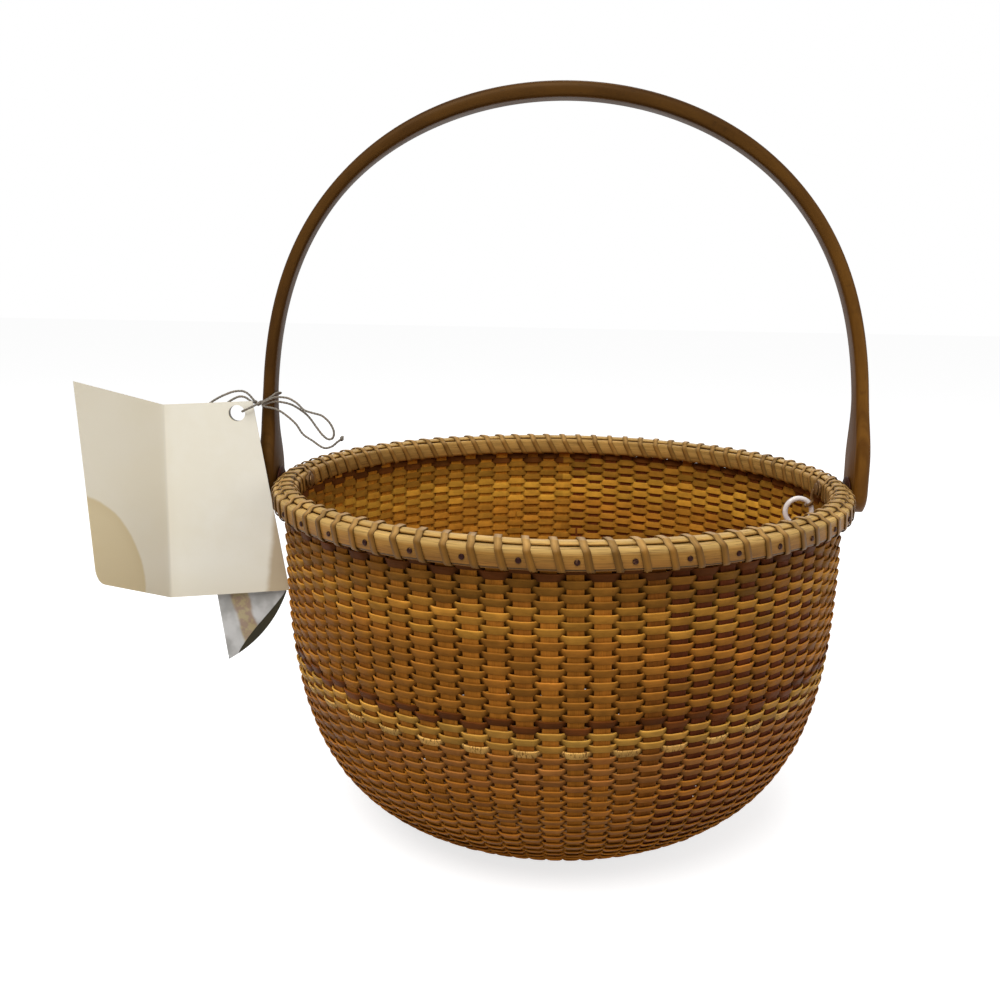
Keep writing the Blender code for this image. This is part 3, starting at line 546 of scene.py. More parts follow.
def makeTwine():
    knot = twineTube("bow_knot", knotPath(knotPlace, twine["knotRadius"], twine["knotTurn"]),
                     ["string_knot"])
    hanger = twineTube("tag_hanger", smoothRoute(hangerRoute, twine["step"]), ["string_hanger"])
    endPath = knotPath(np.array(tailRoute[-1]), twine["endKnotRadius"], twine["endKnotTurn"])
    endKnot = twineTube("end_knot", endPath, [])
    collar = twineTube("leg_collar", smoothRoute(collarRoute, twine["step"]), ["string_collar"])
    bow = twineTube("bow_loop", smoothRoute(bowRoute, twine["step"]), ["string_bow"])
    tail = twineTube("bow_tail", smoothRoute(tailRoute, twine["step"]), ["string_tail"])
    loop = twineTube("left_loop", smoothRoute(leftLoopRoute, twine["step"]), ["string_left_loop"])
    for piece in (bow, tail, endKnot):
        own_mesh(piece)


makeTwine()
print("twine made")


# woven wall
weave = {
    "frontStaves": 41, "backStaves": 42,
    "wallThickness": 0.0022, "radiusPower": 4.0, "heightPower": 3.2,
    "staveTopWidth": 0.0061, "staveLowWidth": 0.0032, "staveThickness": 0.0009, "staveCorner": 0.00025,
    "staveSteps": 70, "staveWobble": 0.04, "staveTurn": 0.0015, "staveShade": (0.85, 0.3),
    "tongue": 0.0057,             # how far the stave ends reach in under the board's edge
    "tongueDrop": 0.0001,
    "lineSteps": 900, "lineCrowding": 1.8,   # points of the wall's line, closer together near the board
    "staveFibreShift": 1.7, "strandFibreShift": 3.1, "fibrePitch": 0.0088,
    "rowPitch": 0.00244, "firstRow": 0.0022, "ceiling": 0.1414, "lastRowShare": 0.25,
    "twist": 0.03,                # how far the staves turn round Z from the rim down to the table
    "weaverWidth": 0.0031, "weaverThickness": 0.00064, "weaverCorner": 0.0002, "lean": 0.0007,
    "outerSwell": 0.00004, "innerSwell": 0.00005,
    # the pale line along a weaver's top edge is a painted highlight, partly the paler cut edge
    "edgeLine": 0.00062,          # how far the pale line runs down from a weaver's top edge
    "swing": 0.00086, "plateau": 2.4, "stepsPerStave": 10,
    "startGap": 0.0004, "strandScatter": 30, "strandEnd": 0.06,
    "rowsPerStrand": 3.6, "rowWobble": 0.00008, "swingWobble": 0.07, "widthWobble": 0.03,
    # colours of the turns, counted from the board up as seen at the front; the dark plum turns at the top are
    # partly painted shade under the hoops
    "bands": ((0, "low"), (19, "brown"), (31, "mauve"), (37, "cream"), (38, "pale"), (41, "deep"),
              (43, "honey"), (55, "golden"), (60, "olive"), (64, "plum")),
    "crackedTurn": 37,
    "low": (0.23, 0.082, 0.01), "brown": (0.25, 0.09, 0.012), "mauve": (0.25, 0.095, 0.02),
    "cream": (0.52, 0.29, 0.08), "pale": (0.4, 0.2, 0.036), "deep": (0.1, 0.028, 0.005),
    "honey": (0.28, 0.108, 0.015), "golden": (0.35, 0.155, 0.022), "olive": (0.2, 0.082, 0.012),
    # plum: dark cane, made darker still as painted shade under the hoops
    "plum": (0.09, 0.026, 0.006),
    "staveGold": (0.3, 0.108, 0.013), "staveBrown": (0.2, 0.066, 0.009), "stavePlum": (0.085, 0.02, 0.006),
    # the inside faces of weavers and staves are painted lighter: painted light for the inside of the bowl
    "insideWeaverLight": (1.5, 1.6, 1.25), "insideStaveLight": (1.9, 2.1, 1.7),
    "slowWaves": (3, 5, 8, 13), "plumSide": (1.5, 0.06, 0.14, 0.7), "plumMix": (0.6, 0.4),
    "barShade": 0.11, "barWarmth": 0.02, "barWarm": (0.6, -0.5, -1.0), "patchShade": 0.05,
    "patchWaves": ((2, 0.31, 0.4), (5, -0.5, 2.0), (9, 0.9, 4.1)),
    "turnShade": 0.07, "turnShadeColour": (1.0, 1.05, 1.1),
    # round a strand's section: which points are outside and low, and their shades, which are painted light
    # and shade: the top line pale as if lit from above (partly the paler cut edge), the low points darker
    "outsidePoints": (0, 1, 1, 1, 1, 1, 0, 0, 0, 0), "lowPoints": (0, 0, 0, 0, 1, 1, 0, 0, 0, 0),
    "pointLightAndShade": (1.3, 1.55, 1.45, 1.0, 0.92, 0.8, 0.8, 0.95, 1.0, 1.0),
    # painted shade where a strand dives under its neighbours, deeper on its low half and on the inner face:
    # the darkest shade, then the wave heights between which it brightens
    "dive": (0.4, -0.45, 0.3), "lowDive": (0.55, 0.0, 0.75), "innerDive": (0.8, -0.45, 0.3),
}
staves = weave["frontStaves"] + weave["backStaves"]


def staveAngle(place):
    # angle round Z of a stave place from 0 to the number of staves; whole numbers are staves
    front, back = weave["frontStaves"], weave["backStaves"]
    place = np.mod(place, front + back)
    return np.where(place < front, -math.pi + place * math.pi / front, (place - front) * math.pi / back)


def wallLine():
    # middle of the wall from the board to the hoops: the superellipse (r/R)^4 + (1 - z/H)^3.2 = 1,
    # moved in by half the wall, with its run and its outward direction
    low = wallBox[0].z
    shares = np.linspace(0.0, 1.0, weave["lineSteps"]) ** weave["lineCrowding"]
    heights = low + (hoopLow - low) * shares
    upper = (1.0 - heights / hoopLow) ** weave["heightPower"]
    radii = wallRadius * (1.0 - upper) ** (1 / weave["radiusPower"])
    line = np.stack((radii, heights), 1)
    ahead = unit(np.gradient(line, axis=0))
    out = np.stack((ahead[:, 1], -ahead[:, 0]), 1)
    middle = line - out * weave["wallThickness"] / 2
    run = runAlong(middle)
    return middle, out, run


wallMiddle, wallOut, wallRun = wallLine()


def onWall(run):
    # radius, height and outward direction at a run along the wall's middle line
    return [np.interp(run, wallRun, values) for values in (*wallMiddle.T, *wallOut.T)]


def twistAt(height):
    # extra angle round Z of the staves, nothing at the hoops
    return weave["twist"] * (1.0 - np.minimum(height / hoopLow, 1.0))


def makeStaves():
    top = wallBox[1].z
    steps = weave["staveSteps"]
    tongue = boardRadius - weave["tongue"]
    run = np.linspace(0.0, wallRun[-1], steps)
    radius, height, outR, outZ = onWall(run)
    radius = np.concatenate(([tongue], radius, [radius[-1]] * 2))
    height = np.concatenate(([height[0] - weave["tongueDrop"]], height, [(top + hoopLow) / 2, top]))
    outR = np.concatenate(([outR[0]], outR, [1.0] * 2))
    outZ = np.concatenate(([outZ[0]], outZ, [0.0] * 2))
    rings = len(radius)
    share = smoothStep(radius, boardRadius, wallRadius)
    wide = weave["staveLowWidth"] + (weave["staveTopWidth"] - weave["staveLowWidth"]) * share
    half = weave["staveThickness"] / 2
    corner = weave["staveCorner"]
    # eight points round a stave, from its outer face towards the way round
    outs = np.array((half, half, half - corner, corner - half, -half, -half, corner - half, half - corner))
    sides = np.stack([wide / 2 - corner] * 8, 1) + np.array((0, 0, 1, 1, 0, 0, 1, 1)) * corner
    signs = np.array((-1, 1, 1, 1, 1, -1, -1, -1))
    angles = staveAngle(np.arange(staves))
    wobble = 1.0 + weave["staveWobble"] * rng.standard_normal((staves, 1, 1))
    turn = rng.standard_normal((staves, 1)) * weave["staveTurn"]
    angle = angles[:, None] + turn + twistAt(height)
    cosine, sine = np.cos(angle), np.sin(angle)
    outward = np.stack((outR * cosine, outR * sine, np.broadcast_to(outZ, angle.shape)), -1)
    sideways = np.stack((-sine, cosine, np.zeros_like(angle)), -1)
    middle = np.stack((radius * cosine, radius * sine, np.broadcast_to(height, angle.shape)), -1)
    across = (sides * signs)[None] * wobble
    points = (middle[:, :, None] + outward[:, :, None] * outs[None, None, :, None]
              + sideways[:, :, None] * across[..., None])
    lengths = np.concatenate(([0.0], np.cumsum(np.hypot(np.diff(radius), np.diff(height)))))
    fibre = np.empty(points.shape)
    fibre[..., 0] = lengths[None, :, None]
    fibre[..., 1] = across + outs
    fibre[..., 2] = np.arange(staves)[:, None, None] * weave["staveFibreShift"]
    gold, brown, plum = (np.array(weave[key]) for key in ("staveGold", "staveBrown", "stavePlum"))
    slow = sum(np.sin(angles * n + rng.uniform(0, 6.3)) for n in weave["slowWaves"])[:, None] / 2
    # plum staves gather on the right
    gain, left, right, loss = weave["plumSide"]
    slowShare, ownShare = weave["plumMix"]
    plumSide = gain * smoothStep(np.cos(angles), left, right)[:, None] - loss
    mixes = smoothStep(slowShare * slow + plumSide + ownShare * rng.standard_normal((staves, 1)), -1.0, 1.0)
    base = np.where(mixes < 0.5, gold + (brown - gold) * mixes * 2, brown + (plum - brown) * (mixes * 2 - 1))
    darkest, spread = weave["staveShade"]
    base = base * (darkest + spread * rng.random((staves, 1)))
    # the inner face is painted lighter, as painted light inside the bowl
    inside = np.where(outs < 0, 1.0, 0.0)[:, None] * (np.array(weave["insideStaveLight"]) - 1.0) + 1.0
    tint = np.broadcast_to(base[:, None, None] * inside, points.shape)
    faces = repeatFaces(gridFaces(rings, 8), staves, rings * 8)
    caps = repeatFaces(capFaces(rings, 8), staves, rings * 8)
    addPiece("staves", points, [faces, caps], staveCane, "basket", ["woven_wall"],
             fibre=fibre.reshape(-1, 3), tint=tint.reshape(-1, 3))


def turnTint(turn):
    # one colour for each turn of the weave, from the bands, with a little of its own
    starts = np.array([start for start, _ in weave["bands"]])
    colours = np.array([weave[key] for _, key in weave["bands"]])
    which = np.clip(np.searchsorted(starts, turn, side="right") - 1, 0, len(starts) - 1)
    return colours[which] * turnShade[np.clip(turn, 0, len(turnShade) - 1)]


def diveShade(wave, key):
    darkest, low, high = weave[key]
    return darkest + (1.0 - darkest) * smoothStep(wave, low, high)


def makeWeaver(number, first, last, material):
    # one strand: it runs round the wall in a rising spiral and swings out over every second stave,
    # so its way out is the cosine of the stave place, flattened by a tanh
    count = int((last - first) * weave["stepsPerStave"]) + 1
    place = np.linspace(first, last, count)
    knots = np.arange(math.floor(first), math.ceil(last) + 1)
    wobbles = [np.interp(place, knots, rng.standard_normal(len(knots))) for _ in range(3)]
    # each row keeps one pitch, and the last one thins out under the lashing
    lowRun = firstRun + (place / staves - 0.5) * weave["rowPitch"]
    room = np.minimum(lowRun + weave["rowPitch"], ceilingRun) - lowRun
    radius, height, outR, outZ = onWall(lowRun + room / 2 + weave["rowWobble"] * wobbles[0])
    wave = np.cos(math.pi * place)
    over = np.tanh(weave["plateau"] * wave) / math.tanh(weave["plateau"])
    reach = weave["swing"] * (1.0 + weave["swingWobble"] * wobbles[1]) * over
    angle = staveAngle(place) + twistAt(height)
    cosine, sine = np.cos(angle), np.sin(angle)
    outRadius = radius + outR * reach
    path = np.stack((outRadius * cosine, outRadius * sine, height + outZ * reach), 1)
    across = np.stack((-outZ * cosine, -outZ * sine, outR), 1)
    ahead = unit(np.gradient(path, axis=0))
    outward = unit(np.cross(ahead, across))
    half = weave["weaverWidth"] / 2 * (1.0 + weave["widthWobble"] * wobbles[2])
    half = half * room / weave["rowPitch"]
    section = weaverSection(half)
    points = sweep(path, across, outward, section)
    sides = section.shape[1]
    fibre = np.empty(points.shape)
    fibre[..., 0] = (place * weave["fibrePitch"])[:, None]
    fibre[..., 1] = section[..., 0]
    fibre[..., 2] = number * weave["strandFibreShift"]
    index = np.clip(np.round(place).astype(int) - knots[0], 0, len(knots) - 1)
    barShade = 1.0 + weave["barShade"] * rng.standard_normal(len(knots))[index]
    barWarm = weave["barWarmth"] * rng.standard_normal(len(knots))[index]
    turn = np.floor(place / staves + backShift).astype(int)
    patch = sum(np.sin(angle * n + turn * m + q) for n, m, q in weave["patchWaves"])
    colour = turnTint(turn) * (barShade * (1.0 + weave["patchShade"] * patch))[:, None]
    colour = colour * (1.0 + barWarm[:, None] * np.array(weave["barWarm"]))
    # round the section: the outer face's top line is pale, a painted highlight as if lit from above and
    # partly the paler cut edge, and both faces darken as painted shade where the strand dives
    outside, lowPart = np.array(weave["outsidePoints"]), np.array(weave["lowPoints"])
    dive = diveShade(wave, "dive")
    lowDive = diveShade(wave, "lowDive")
    innerDive = diveShade(-wave, "innerDive")
    shade = np.where(outside == 1, dive[:, None], innerDive[:, None])
    shade = shade * np.where(lowPart == 1, lowDive[:, None], 1.0) * np.array(weave["pointLightAndShade"])
    # the inside faces are painted lighter, as painted light inside the bowl
    insideFaceLight = np.where(outside[:, None] == 1, 1.0, np.array(weave["insideWeaverLight"]))
    tint = colour[:, None] * shade[..., None] * insideFaceLight
    faces = [gridFaces(count, sides), capFaces(count, sides)]
    piece = addPiece("weaver_%02d" % number, points, faces, material, "basket", ["woven_wall"],
                     fibre=fibre.reshape(-1, 3), tint=tint.reshape(-1, 3))
    piece.data.set_sharp_from_angle(angle=math.radians(40.0))


def weaverSection(half):
    # ten (up, out) points round a strand: bevelled edges, and a top edge that leans out over the next row
    thick, corner = weave["weaverThickness"] / 2, weave["weaverCorner"]
    zero = np.zeros_like(half)
    up = np.stack((half, half, half - corner, half - weave["edgeLine"], corner - half,
                   -half, -half, corner - half, zero, half - corner), 1)
    outer, inner = thick + weave["outerSwell"], -thick - weave["innerSwell"]
    out = np.array((corner - thick, thick - corner, thick, outer, thick,
                    thick - corner, corner - thick, -thick, inner, -thick))
    return np.stack((up, out + up / half[:, None] * weave["lean"] / 2), -1)


startRun = float(np.interp(boardRadius + weave["startGap"], wallMiddle[:, 0], wallRun))
firstRun = startRun + weave["firstRow"]
ceilingRun = float(np.interp(weave["ceiling"], wallMiddle[:, 1], wallRun))
rowCount = (ceilingRun - firstRun) / weave["rowPitch"] + 0.5 - weave["lastRowShare"]
# turns are counted from the middle of the back
backShift = 1.0 - (weave["frontStaves"] + weave["backStaves"] / 2) / staves
turnShade = rng.standard_normal((math.ceil(rowCount) + 2, 1)) * weave["turnShade"]
turnShade = 1.0 + turnShade * np.array(weave["turnShadeColour"])
print("rows of weave: %.1f" % rowCount)


def makeWeave():
    makeStaves()
    total = int(rowCount * staves)
    strands = int(round(rowCount / weave["rowsPerStrand"]))
    # strands end behind a stave, at odd places, and the cracked turn is a strand of its own
    ends = np.round(np.linspace(0, total, strands + 1) / 2) * 2 + 1
    ends[1:-1] += 2 * rng.integers(-weave["strandScatter"], weave["strandScatter"], strands - 1)
    cracked = np.round((weave["crackedTurn"] - backShift + np.array((0.0, 1.0))) * staves / 2) * 2 + 1
    clear = (ends < cracked[0] - staves) | (ends > cracked[1] + staves)
    ends = np.sort(np.concatenate((ends[clear], cracked)))
    short = weave["strandEnd"]
    for number, (first, last) in enumerate(zip(ends[:-1], ends[1:]), start=1):
        makeWeaver(number, first + short, last - short, crackedCane if first == cracked[0] else weaverCane)
    print("weavers made:", len(ends) - 1)


makeWeave()


# rims: two hoops, the filler over the stave ends, the lashing and the nails
rim = {
    "steps": 360, "corner": 0.0013, "crown": 0.00022, "crownHalf": 0.004,
    "outerCornerSteps": 12, "innerCornerSteps": 4, "outerStep": 0.0003, "innerStep": 0.0007,
    "hoopWaves": (5, 9, 14, 23), "waveHeight": 0.00006, "toneWaves": (2, 3, 7), "toneDepth": 0.06,
    "patchLength": 0.03,
    "fillerHeight": 0.0014, "fillerSeat": 0.0002, "fillerBaseShare": 0.9, "fillerTurns": (170.0, 10.0, 13),
    # hoop colours run from a shaded brown low down to a lit tan over the top: painted light and shade
    "tan": (0.46, 0.26, 0.07), "shadedBrownTan": (0.33, 0.165, 0.038), "litTan": (0.52, 0.32, 0.1),
    "outerTan": (0.31, 0.148, 0.03), "outerShadedBrown": (0.24, 0.103, 0.02),
    # painted shadow line round the outer hoop, where no groove is cut: its height over the underside, half
    # its width, and its shade
    "groove": (0.0008, 0.00022), "paintedGrooveShadow": 0.12, "grooveInset": 0.002,
    "lashingWidth": 0.0027, "lashingThickness": 0.0004, "lashingGap": 0.00006, "lashingCorner": 0.0011,
    "lashingBevel": 0.00012, "lashingCrown": 0.00008, "lashingWave": (0.03, 170.0), "turnWobble": 0.012,
    "snugWobble": 0.00004,
    # how far the lashing lies out and in of the filler, and above the hoops
    "ledge": (0.0012, 0.0008, 0.0003),
    "turnShares": (0.0, 0.0, 0.04, 0.2, 0.25, 0.3, 0.38, 0.44, 0.5, 0.86),
    "pivotTurnShares": (0.0, 0.0, 0.03, 0.1, 0.15, 0.2, 0.8, 0.85, 0.9, 0.97),
    "stepsPerSegment": 5, "curl": 0.26,
    # painted light on the lashing: a lit top, shaded faces outside and inside, and shaded edges
    "lashingLitTop": (0.47, 0.26, 0.078), "lashingShadedFace": (0.2, 0.086, 0.013),
    "lashingShadedInside": (0.34, 0.165, 0.036),
    "lashingEdgeShade": 0.35, "edgeFrom": 0.8, "litTopFade": (0.0006, 0.0022), "turnTone": 0.12,
    "nailZShare": 0.44, "firstNailStave": 3, "nailHeadRadius": 0.00105, "nailHeadHeight": 0.0006,
    "nailShankRadius": 0.0005, "nailLength": 0.0086, "nailSeat": 0.0001, "nailTaperShare": 0.8,
    "nailSides": 20, "nailWobble": 0.06, "nailScatter": 0.0001,
    "nailDomeTurns": (70.0, 45.0, 20.0, 0.0), "nailDomeShare": 0.25,
}


def roundedOutline(low, high, steps):
    # a rectangle in (radius, height) with round corners and crowned sides, running down its outer side
    corner = rim["corner"]
    points = []
    centres = ((high[0] - corner, high[1] - corner, 90.0), (high[0] - corner, low[1] + corner, 0.0),
               (low[0] + corner, low[1] + corner, -90.0), (low[0] + corner, high[1] - corner, 180.0))
    for x, z, start in centres:
        turns = np.radians(start - np.linspace(0.0, 90.0, steps + 1))
        points.append(np.stack((x + corner * np.cos(turns), z + corner * np.sin(turns)), 1))
    return np.concatenate(points)


def addCrown(outline, middle, half):
    # the flat sides swell by the crown at mid height
    swell = 1.0 - ((outline[:, 1] - middle[1]) / half) ** 2
    outline = outline.copy()
    outline[:, 0] += np.sign(outline[:, 0] - middle[0]) * rim["crown"] * np.clip(swell, 0.0, 1.0)
    return outline


def denser(outline, step):
    # extra points along the straight stretches of a closed outline
    closed = np.vstack((outline, outline[:1]))
    parts = []
    for a, b in zip(closed[:-1], closed[1:]):
        cuts = max(1, int(np.linalg.norm(b - a) / step))
        parts.append(a + (b - a) * np.linspace(0.0, 1.0, cuts, endpoint=False)[:, None])
    return np.concatenate(parts)


def hoopPiece(name, outline, seed, node, tints, shadowLined=False):
    # an outline carried round Z with slight waves, painted from its height (painted light and shade: darker
    # low towards the underside, paler over the top) and a slow noise round it
    points, faces = turned(outline, rim["steps"])
    angles = np.linspace(0.0, 2 * math.pi, rim["steps"], endpoint=False)
    waves = sum(rng.uniform(0.4, 1.0) * np.sin(angles * n + rng.uniform(0, 6.3)) for n in rim["hoopWaves"])
    points[..., 2] += (waves * rim["waveHeight"])[:, None]
    sides = len(outline)
    run = runAlong(outline)
    fibre = np.empty(points.shape)
    radius = outline[:, 0].max()
    fibre[..., 0] = (np.cos(angles) * radius)[:, None]
    fibre[..., 1] = run[None]
    fibre[..., 2] = (np.sin(angles) * radius / rim["patchLength"] + seed)[:, None]
    low, high, top = (np.array(t) for t in tints)
    share = smoothStep(outline[:, 1], outline[:, 1].min(), outline[:, 1].max())[None, :, None]
    tint = low + (high - low) * smoothStep(share, 0.1, 0.7) + (top - high) * smoothStep(share, 0.75, 1.0)
    slow = 1.0 + rim["toneDepth"] * sum(np.sin(angles * n + rng.uniform(0, 6.3)) for n in rim["toneWaves"])
    tint = np.broadcast_to(tint, (rim["steps"], sides, 3)) * slow[:, None, None]
    if shadowLined:
        # painted shadow: a dark line where a groove would be, on the outer face only
        place, half = rim["groove"]
        line = np.abs(outline[:, 1] - hoopLow - place) < half
        outside = outline[:, 0] > wallRadius + rim["grooveInset"]
        tint = tint * np.where(line & outside, rim["paintedGrooveShadow"], 1.0)[None, :, None]
    return addPiece(name, points, [faces], hoopCane, "basket", [node],
                    fibre=fibre.reshape(-1, 3), tint=tint.reshape(-1, 3))


def lashingRow():
    # (radius, height) of one turn: under the hoops, up outside, over the filler and down inside
    away = rim["lashingGap"] + rim["lashingThickness"] / 2
    corner = rim["lashingCorner"]
    inside = innerRadius - away
    outside = hoopRadius + away
    low, top = hoopLow - away, fillerBox[1].z + away
    middle = wallMiddle[-1, 0]
    half = fillerBox[1].x - middle
    outLedge, inLedge, rise = rim["ledge"]
    ledgeHigh = hoopHigh + away + rise
    return np.array([
        (inside + corner + away, low), (outside - corner - away, low),
        (outside, hoopLow + corner), (outside, hoopHigh - corner),
        (middle + half + outLedge, ledgeHigh), (middle + half - away, top),
        (middle - half + away, top), (middle - half - inLedge, ledgeHigh),
        (inside, hoopHigh - corner), (inside, hoopLow + corner)])


def makeLashing():
    # the row's points go round the rim with a share of the step each, as one strip, then through a
    # cardinal spline with short tangents, which keeps the turns snug on the hoops
    frontGaps = -math.pi + (np.arange(weave["frontStaves"]) + 0.5) * math.pi / weave["frontStaves"]
    backGaps = (np.arange(weave["backStaves"]) + 0.5) * math.pi / weave["backStaves"]
    gaps = np.concatenate((frontGaps, backGaps))[::-1]
    steps = gaps - np.append(gaps[1:], gaps[0] - 2 * math.pi)
    acrossPivot = np.abs(np.sin(gaps - steps / 2)) < np.abs(np.sin(steps / 4))
    shares = np.where(acrossPivot[:, None], rim["pivotTurnShares"], rim["turnShares"])
    shares = shares + rim["turnWobble"] * rng.standard_normal(shares.shape)
    angles = (gaps[:, None] - steps[:, None] * shares).ravel()[:-1]
    row = np.tile(lashingRow(), (len(gaps), 1))[:-1]
    row[:, 0] += rim["snugWobble"] * rng.standard_normal(len(row))
    data = np.stack((row[:, 0], row[:, 1], np.unwrap(angles)), 1)
    ends = np.vstack((data[:1], data, data[-1:]))
    share = np.linspace(0.0, 1.0, rim["stepsPerSegment"], endpoint=False)[None, :, None]
    a, b, c, d = (ends[k:len(ends) - 3 + k, None] for k in range(4))
    m0, m1 = (c - a) * rim["curl"], (d - b) * rim["curl"]
    curve = ((2 * share ** 3 - 3 * share ** 2 + 1) * b + (share ** 3 - 2 * share ** 2 + share) * m0
             + (3 * share ** 2 - 2 * share ** 3) * c + (share ** 3 - share ** 2) * m1).reshape(-1, 3)
    cosine, sine = np.cos(curve[:, 2]), np.sin(curve[:, 2])
    path = np.stack((curve[:, 0] * cosine, curve[:, 0] * sine, curve[:, 1]), 1)
    ahead = unit(np.gradient(path, axis=0))
    roundRim = np.stack((-sine, cosine, np.zeros(len(path))), 1)
    side = unit(roundRim - ahead * np.sum(roundRim * ahead, axis=1, keepdims=True))
    face = np.cross(ahead, side)
    waveShare, waveTurns = rim["lashingWave"]
    wide = rim["lashingWidth"] * (1.0 + waveShare * np.sin(np.linspace(0, waveTurns, len(path))))
    halfThick = np.full(len(path), rim["lashingThickness"] / 2)
    section = np.moveaxis(roundedBar(wide / 2, halfThick, rim["lashingBevel"], rim["lashingCrown"]), -1, 0)
    points = sweep(path, side, face, section)
    run = runAlong(path)
    fibre = np.stack(np.broadcast_arrays(run[:, None], section[..., 0], 5.0), -1)
    top, front, inside = (np.array(rim[key]) for key in ("lashingLitTop", "lashingShadedFace", "lashingShadedInside"))
    near = section[..., 0] / (wide[:, None] / 2)
    # painted light and shade: pale over the top where the light falls, darker down both sides of the rim, and
    # painted shade along both edges
    above, fade = rim["litTopFade"]
    down = smoothStep(hoopHigh + above - curve[:, 1], 0.0, fade)[:, None]
    sideShade = np.where((curve[:, 0] > wallRadius)[:, None], front, inside)
    edge = 1.0 - (1.0 - rim["lashingEdgeShade"]) * smoothStep(np.abs(near), rim["edgeFrom"], 1.0)[..., None]
    tint = (top + (sideShade - top) * down)[:, None] * edge
    turnTone = 1.0 + rim["turnTone"] * rng.standard_normal(len(gaps))
    turnTone = np.repeat(turnTone, shares.shape[1] * rim["stepsPerSegment"])
    tint = tint * turnTone[:len(path), None, None]
    rings, sides = section.shape[:2]
    addPiece("lashing", points, [gridFaces(rings, sides), capFaces(rings, sides)], lashingCane, "basket",
             ["rim_lashing"], fibre=fibre.reshape(-1, 3), tint=tint.reshape(-1, 3))


def makeNails():
    # a domed head on a pointed shank, laid along a radius of the rim
    front = np.arange(rim["firstNailStave"], weave["frontStaves"] - rim["firstNailStave"] + 1, 2)
    back = np.arange(rim["firstNailStave"], weave["backStaves"] - 1, 2)
    angles = np.concatenate((front * math.pi / weave["frontStaves"] - math.pi,
                             back * math.pi / weave["backStaves"]))
    headR, headH, shank = rim["nailHeadRadius"], rim["nailHeadHeight"], rim["nailShankRadius"]
    seat = hoopRadius + rim["nailSeat"]
    taper = rim["nailTaperShare"]
    turns, low = np.radians(rim["nailDomeTurns"]), rim["nailDomeShare"]
    dome = np.stack((headR * np.cos(turns), seat + headH * (low + (1.0 - low) * np.sin(turns))), 1)
    profile = np.vstack(([(0.0, seat + headH)], dome, [(headR, seat)], [(shank, seat)],
                         [(shank * taper, hoopRadius - rim["nailLength"] * taper)],
                         [(0.0, hoopRadius - rim["nailLength"])]))
    height = hoopLow + (hoopHigh - hoopLow) * rim["nailZShare"]
    for number, angle in enumerate(angles, start=1):
        points, faces = turnedCapped(profile, rim["nailSides"])
        points[:, 0] *= 1.0 + rim["nailWobble"] * rng.standard_normal()
        laid = layAlongX(points, 1.0, height + rim["nailScatter"] * rng.standard_normal())
        x, y = laid[:, 0].copy(), laid[:, 1].copy()
        laid[:, 0] = x * math.cos(angle) - y * math.sin(angle)
        laid[:, 1] = x * math.sin(angle) + y * math.cos(angle)
        addPiece("nail_%02d" % number, laid, faces, agedBrass, "basket",
                 ["rim_nail_%02d" % number])


outerInside = wallRadius + fitGap
innerOutside = innerBox[1].x
innerRadius = innerOutside - innerHoopThickness
outerOutline = roundedOutline((outerInside, hoopLow), (hoopRadius - rim["crown"], hoopHigh),
                              rim["outerCornerSteps"])
outerOutline = addCrown(denser(outerOutline, rim["outerStep"]),
                        ((outerInside + hoopRadius) / 2, (hoopLow + hoopHigh) / 2), rim["crownHalf"])
innerOutline = roundedOutline((innerRadius, hoopLow), (innerOutside, hoopHigh), rim["innerCornerSteps"])
innerOutline = denser(innerOutline, rim["innerStep"])
hoopPiece("outer_hoop", outerOutline, 2.0, "outer_rim",
          (rim["outerShadedBrown"], rim["outerTan"], rim["litTan"]), shadowLined=True)
hoopPiece("inner_hoop", innerOutline, 9.0, "inner_rim", (rim["shadedBrownTan"], rim["tan"], rim["tan"]))


def makeFiller():
    # a half-round cane: the upper half of an ellipse over a flat underside
    middle = wallMiddle[-1, 0]
    half = fillerBox[1].x - middle
    turns = np.radians(np.linspace(*rim["fillerTurns"]))
    seat = rim["fillerSeat"]
    crown = np.stack((middle + half * np.cos(turns), fillerBox[0].z + seat
                      + (rim["fillerHeight"] - seat) * np.sin(turns)), 1)
    baseHalf = half * rim["fillerBaseShare"]
    base = np.array([(middle + baseHalf, fillerBox[0].z), (middle - baseHalf, fillerBox[0].z)])
    hoopPiece("filler", np.vstack((crown, base)), 17.0, "rim_filler",
              (rim["tan"], rim["litTan"], rim["litTan"]))


makeFiller()
makeLashing()
makeNails()
print("rims made")


# handle: one bent bow, its middle line (x/A)^2 + (h/H)^2.9 = 1 above the pivots
bow = {
    "pivotZ": 0.1467, "thickness": 0.0068, "halfWidth": 0.006, "earRadius": 0.01,
    "outerCorner": 0.003, "innerCorner": 0.002, "heightPower": 2.9, "swell": ((0.152, 0.172), (0.16, 0.19)),
    "slim": (0.23, 0.12), "slimFrom": (0.16, 0.19), "slimTo": (0.27, 0.316),
    "steps": 240, "tipSteps": 12, "cornerSteps": 4, "fineSteps": 4000, "tipTurns": (84.0, 6.0),
    "outerCornerShare": 0.48, "innerCornerShare": 0.4, "layerScale": 60.0,
    "shade": (1.4, 0.5),   # at the pivots, and how much it drops over the top and differs between the legs
}


def bowSection(half, thick):
    # rounded rectangles: out of the arch along the first value, across it along the second
    outer = np.minimum(bow["outerCorner"], half * bow["outerCornerShare"])
    inner = np.minimum(bow["innerCorner"], half * bow["innerCornerShare"])
    parts = []
    for signOut, signAcross, corner, start in ((1, 1, outer, 0.0), (-1, 1, inner, 90.0),
                                               (-1, -1, inner, 180.0), (1, -1, outer, 270.0)):
        turns = np.radians(start + np.linspace(0.0, 90.0, bow["cornerSteps"] + 1))
        outs = signOut * (thick - corner)[:, None] + corner[:, None] * np.cos(turns)
        acrosses = signAcross * (half - corner)[:, None] + corner[:, None] * np.sin(turns)
        parts.append(np.stack((outs, acrosses), -1))
    return np.concatenate(parts, axis=1)


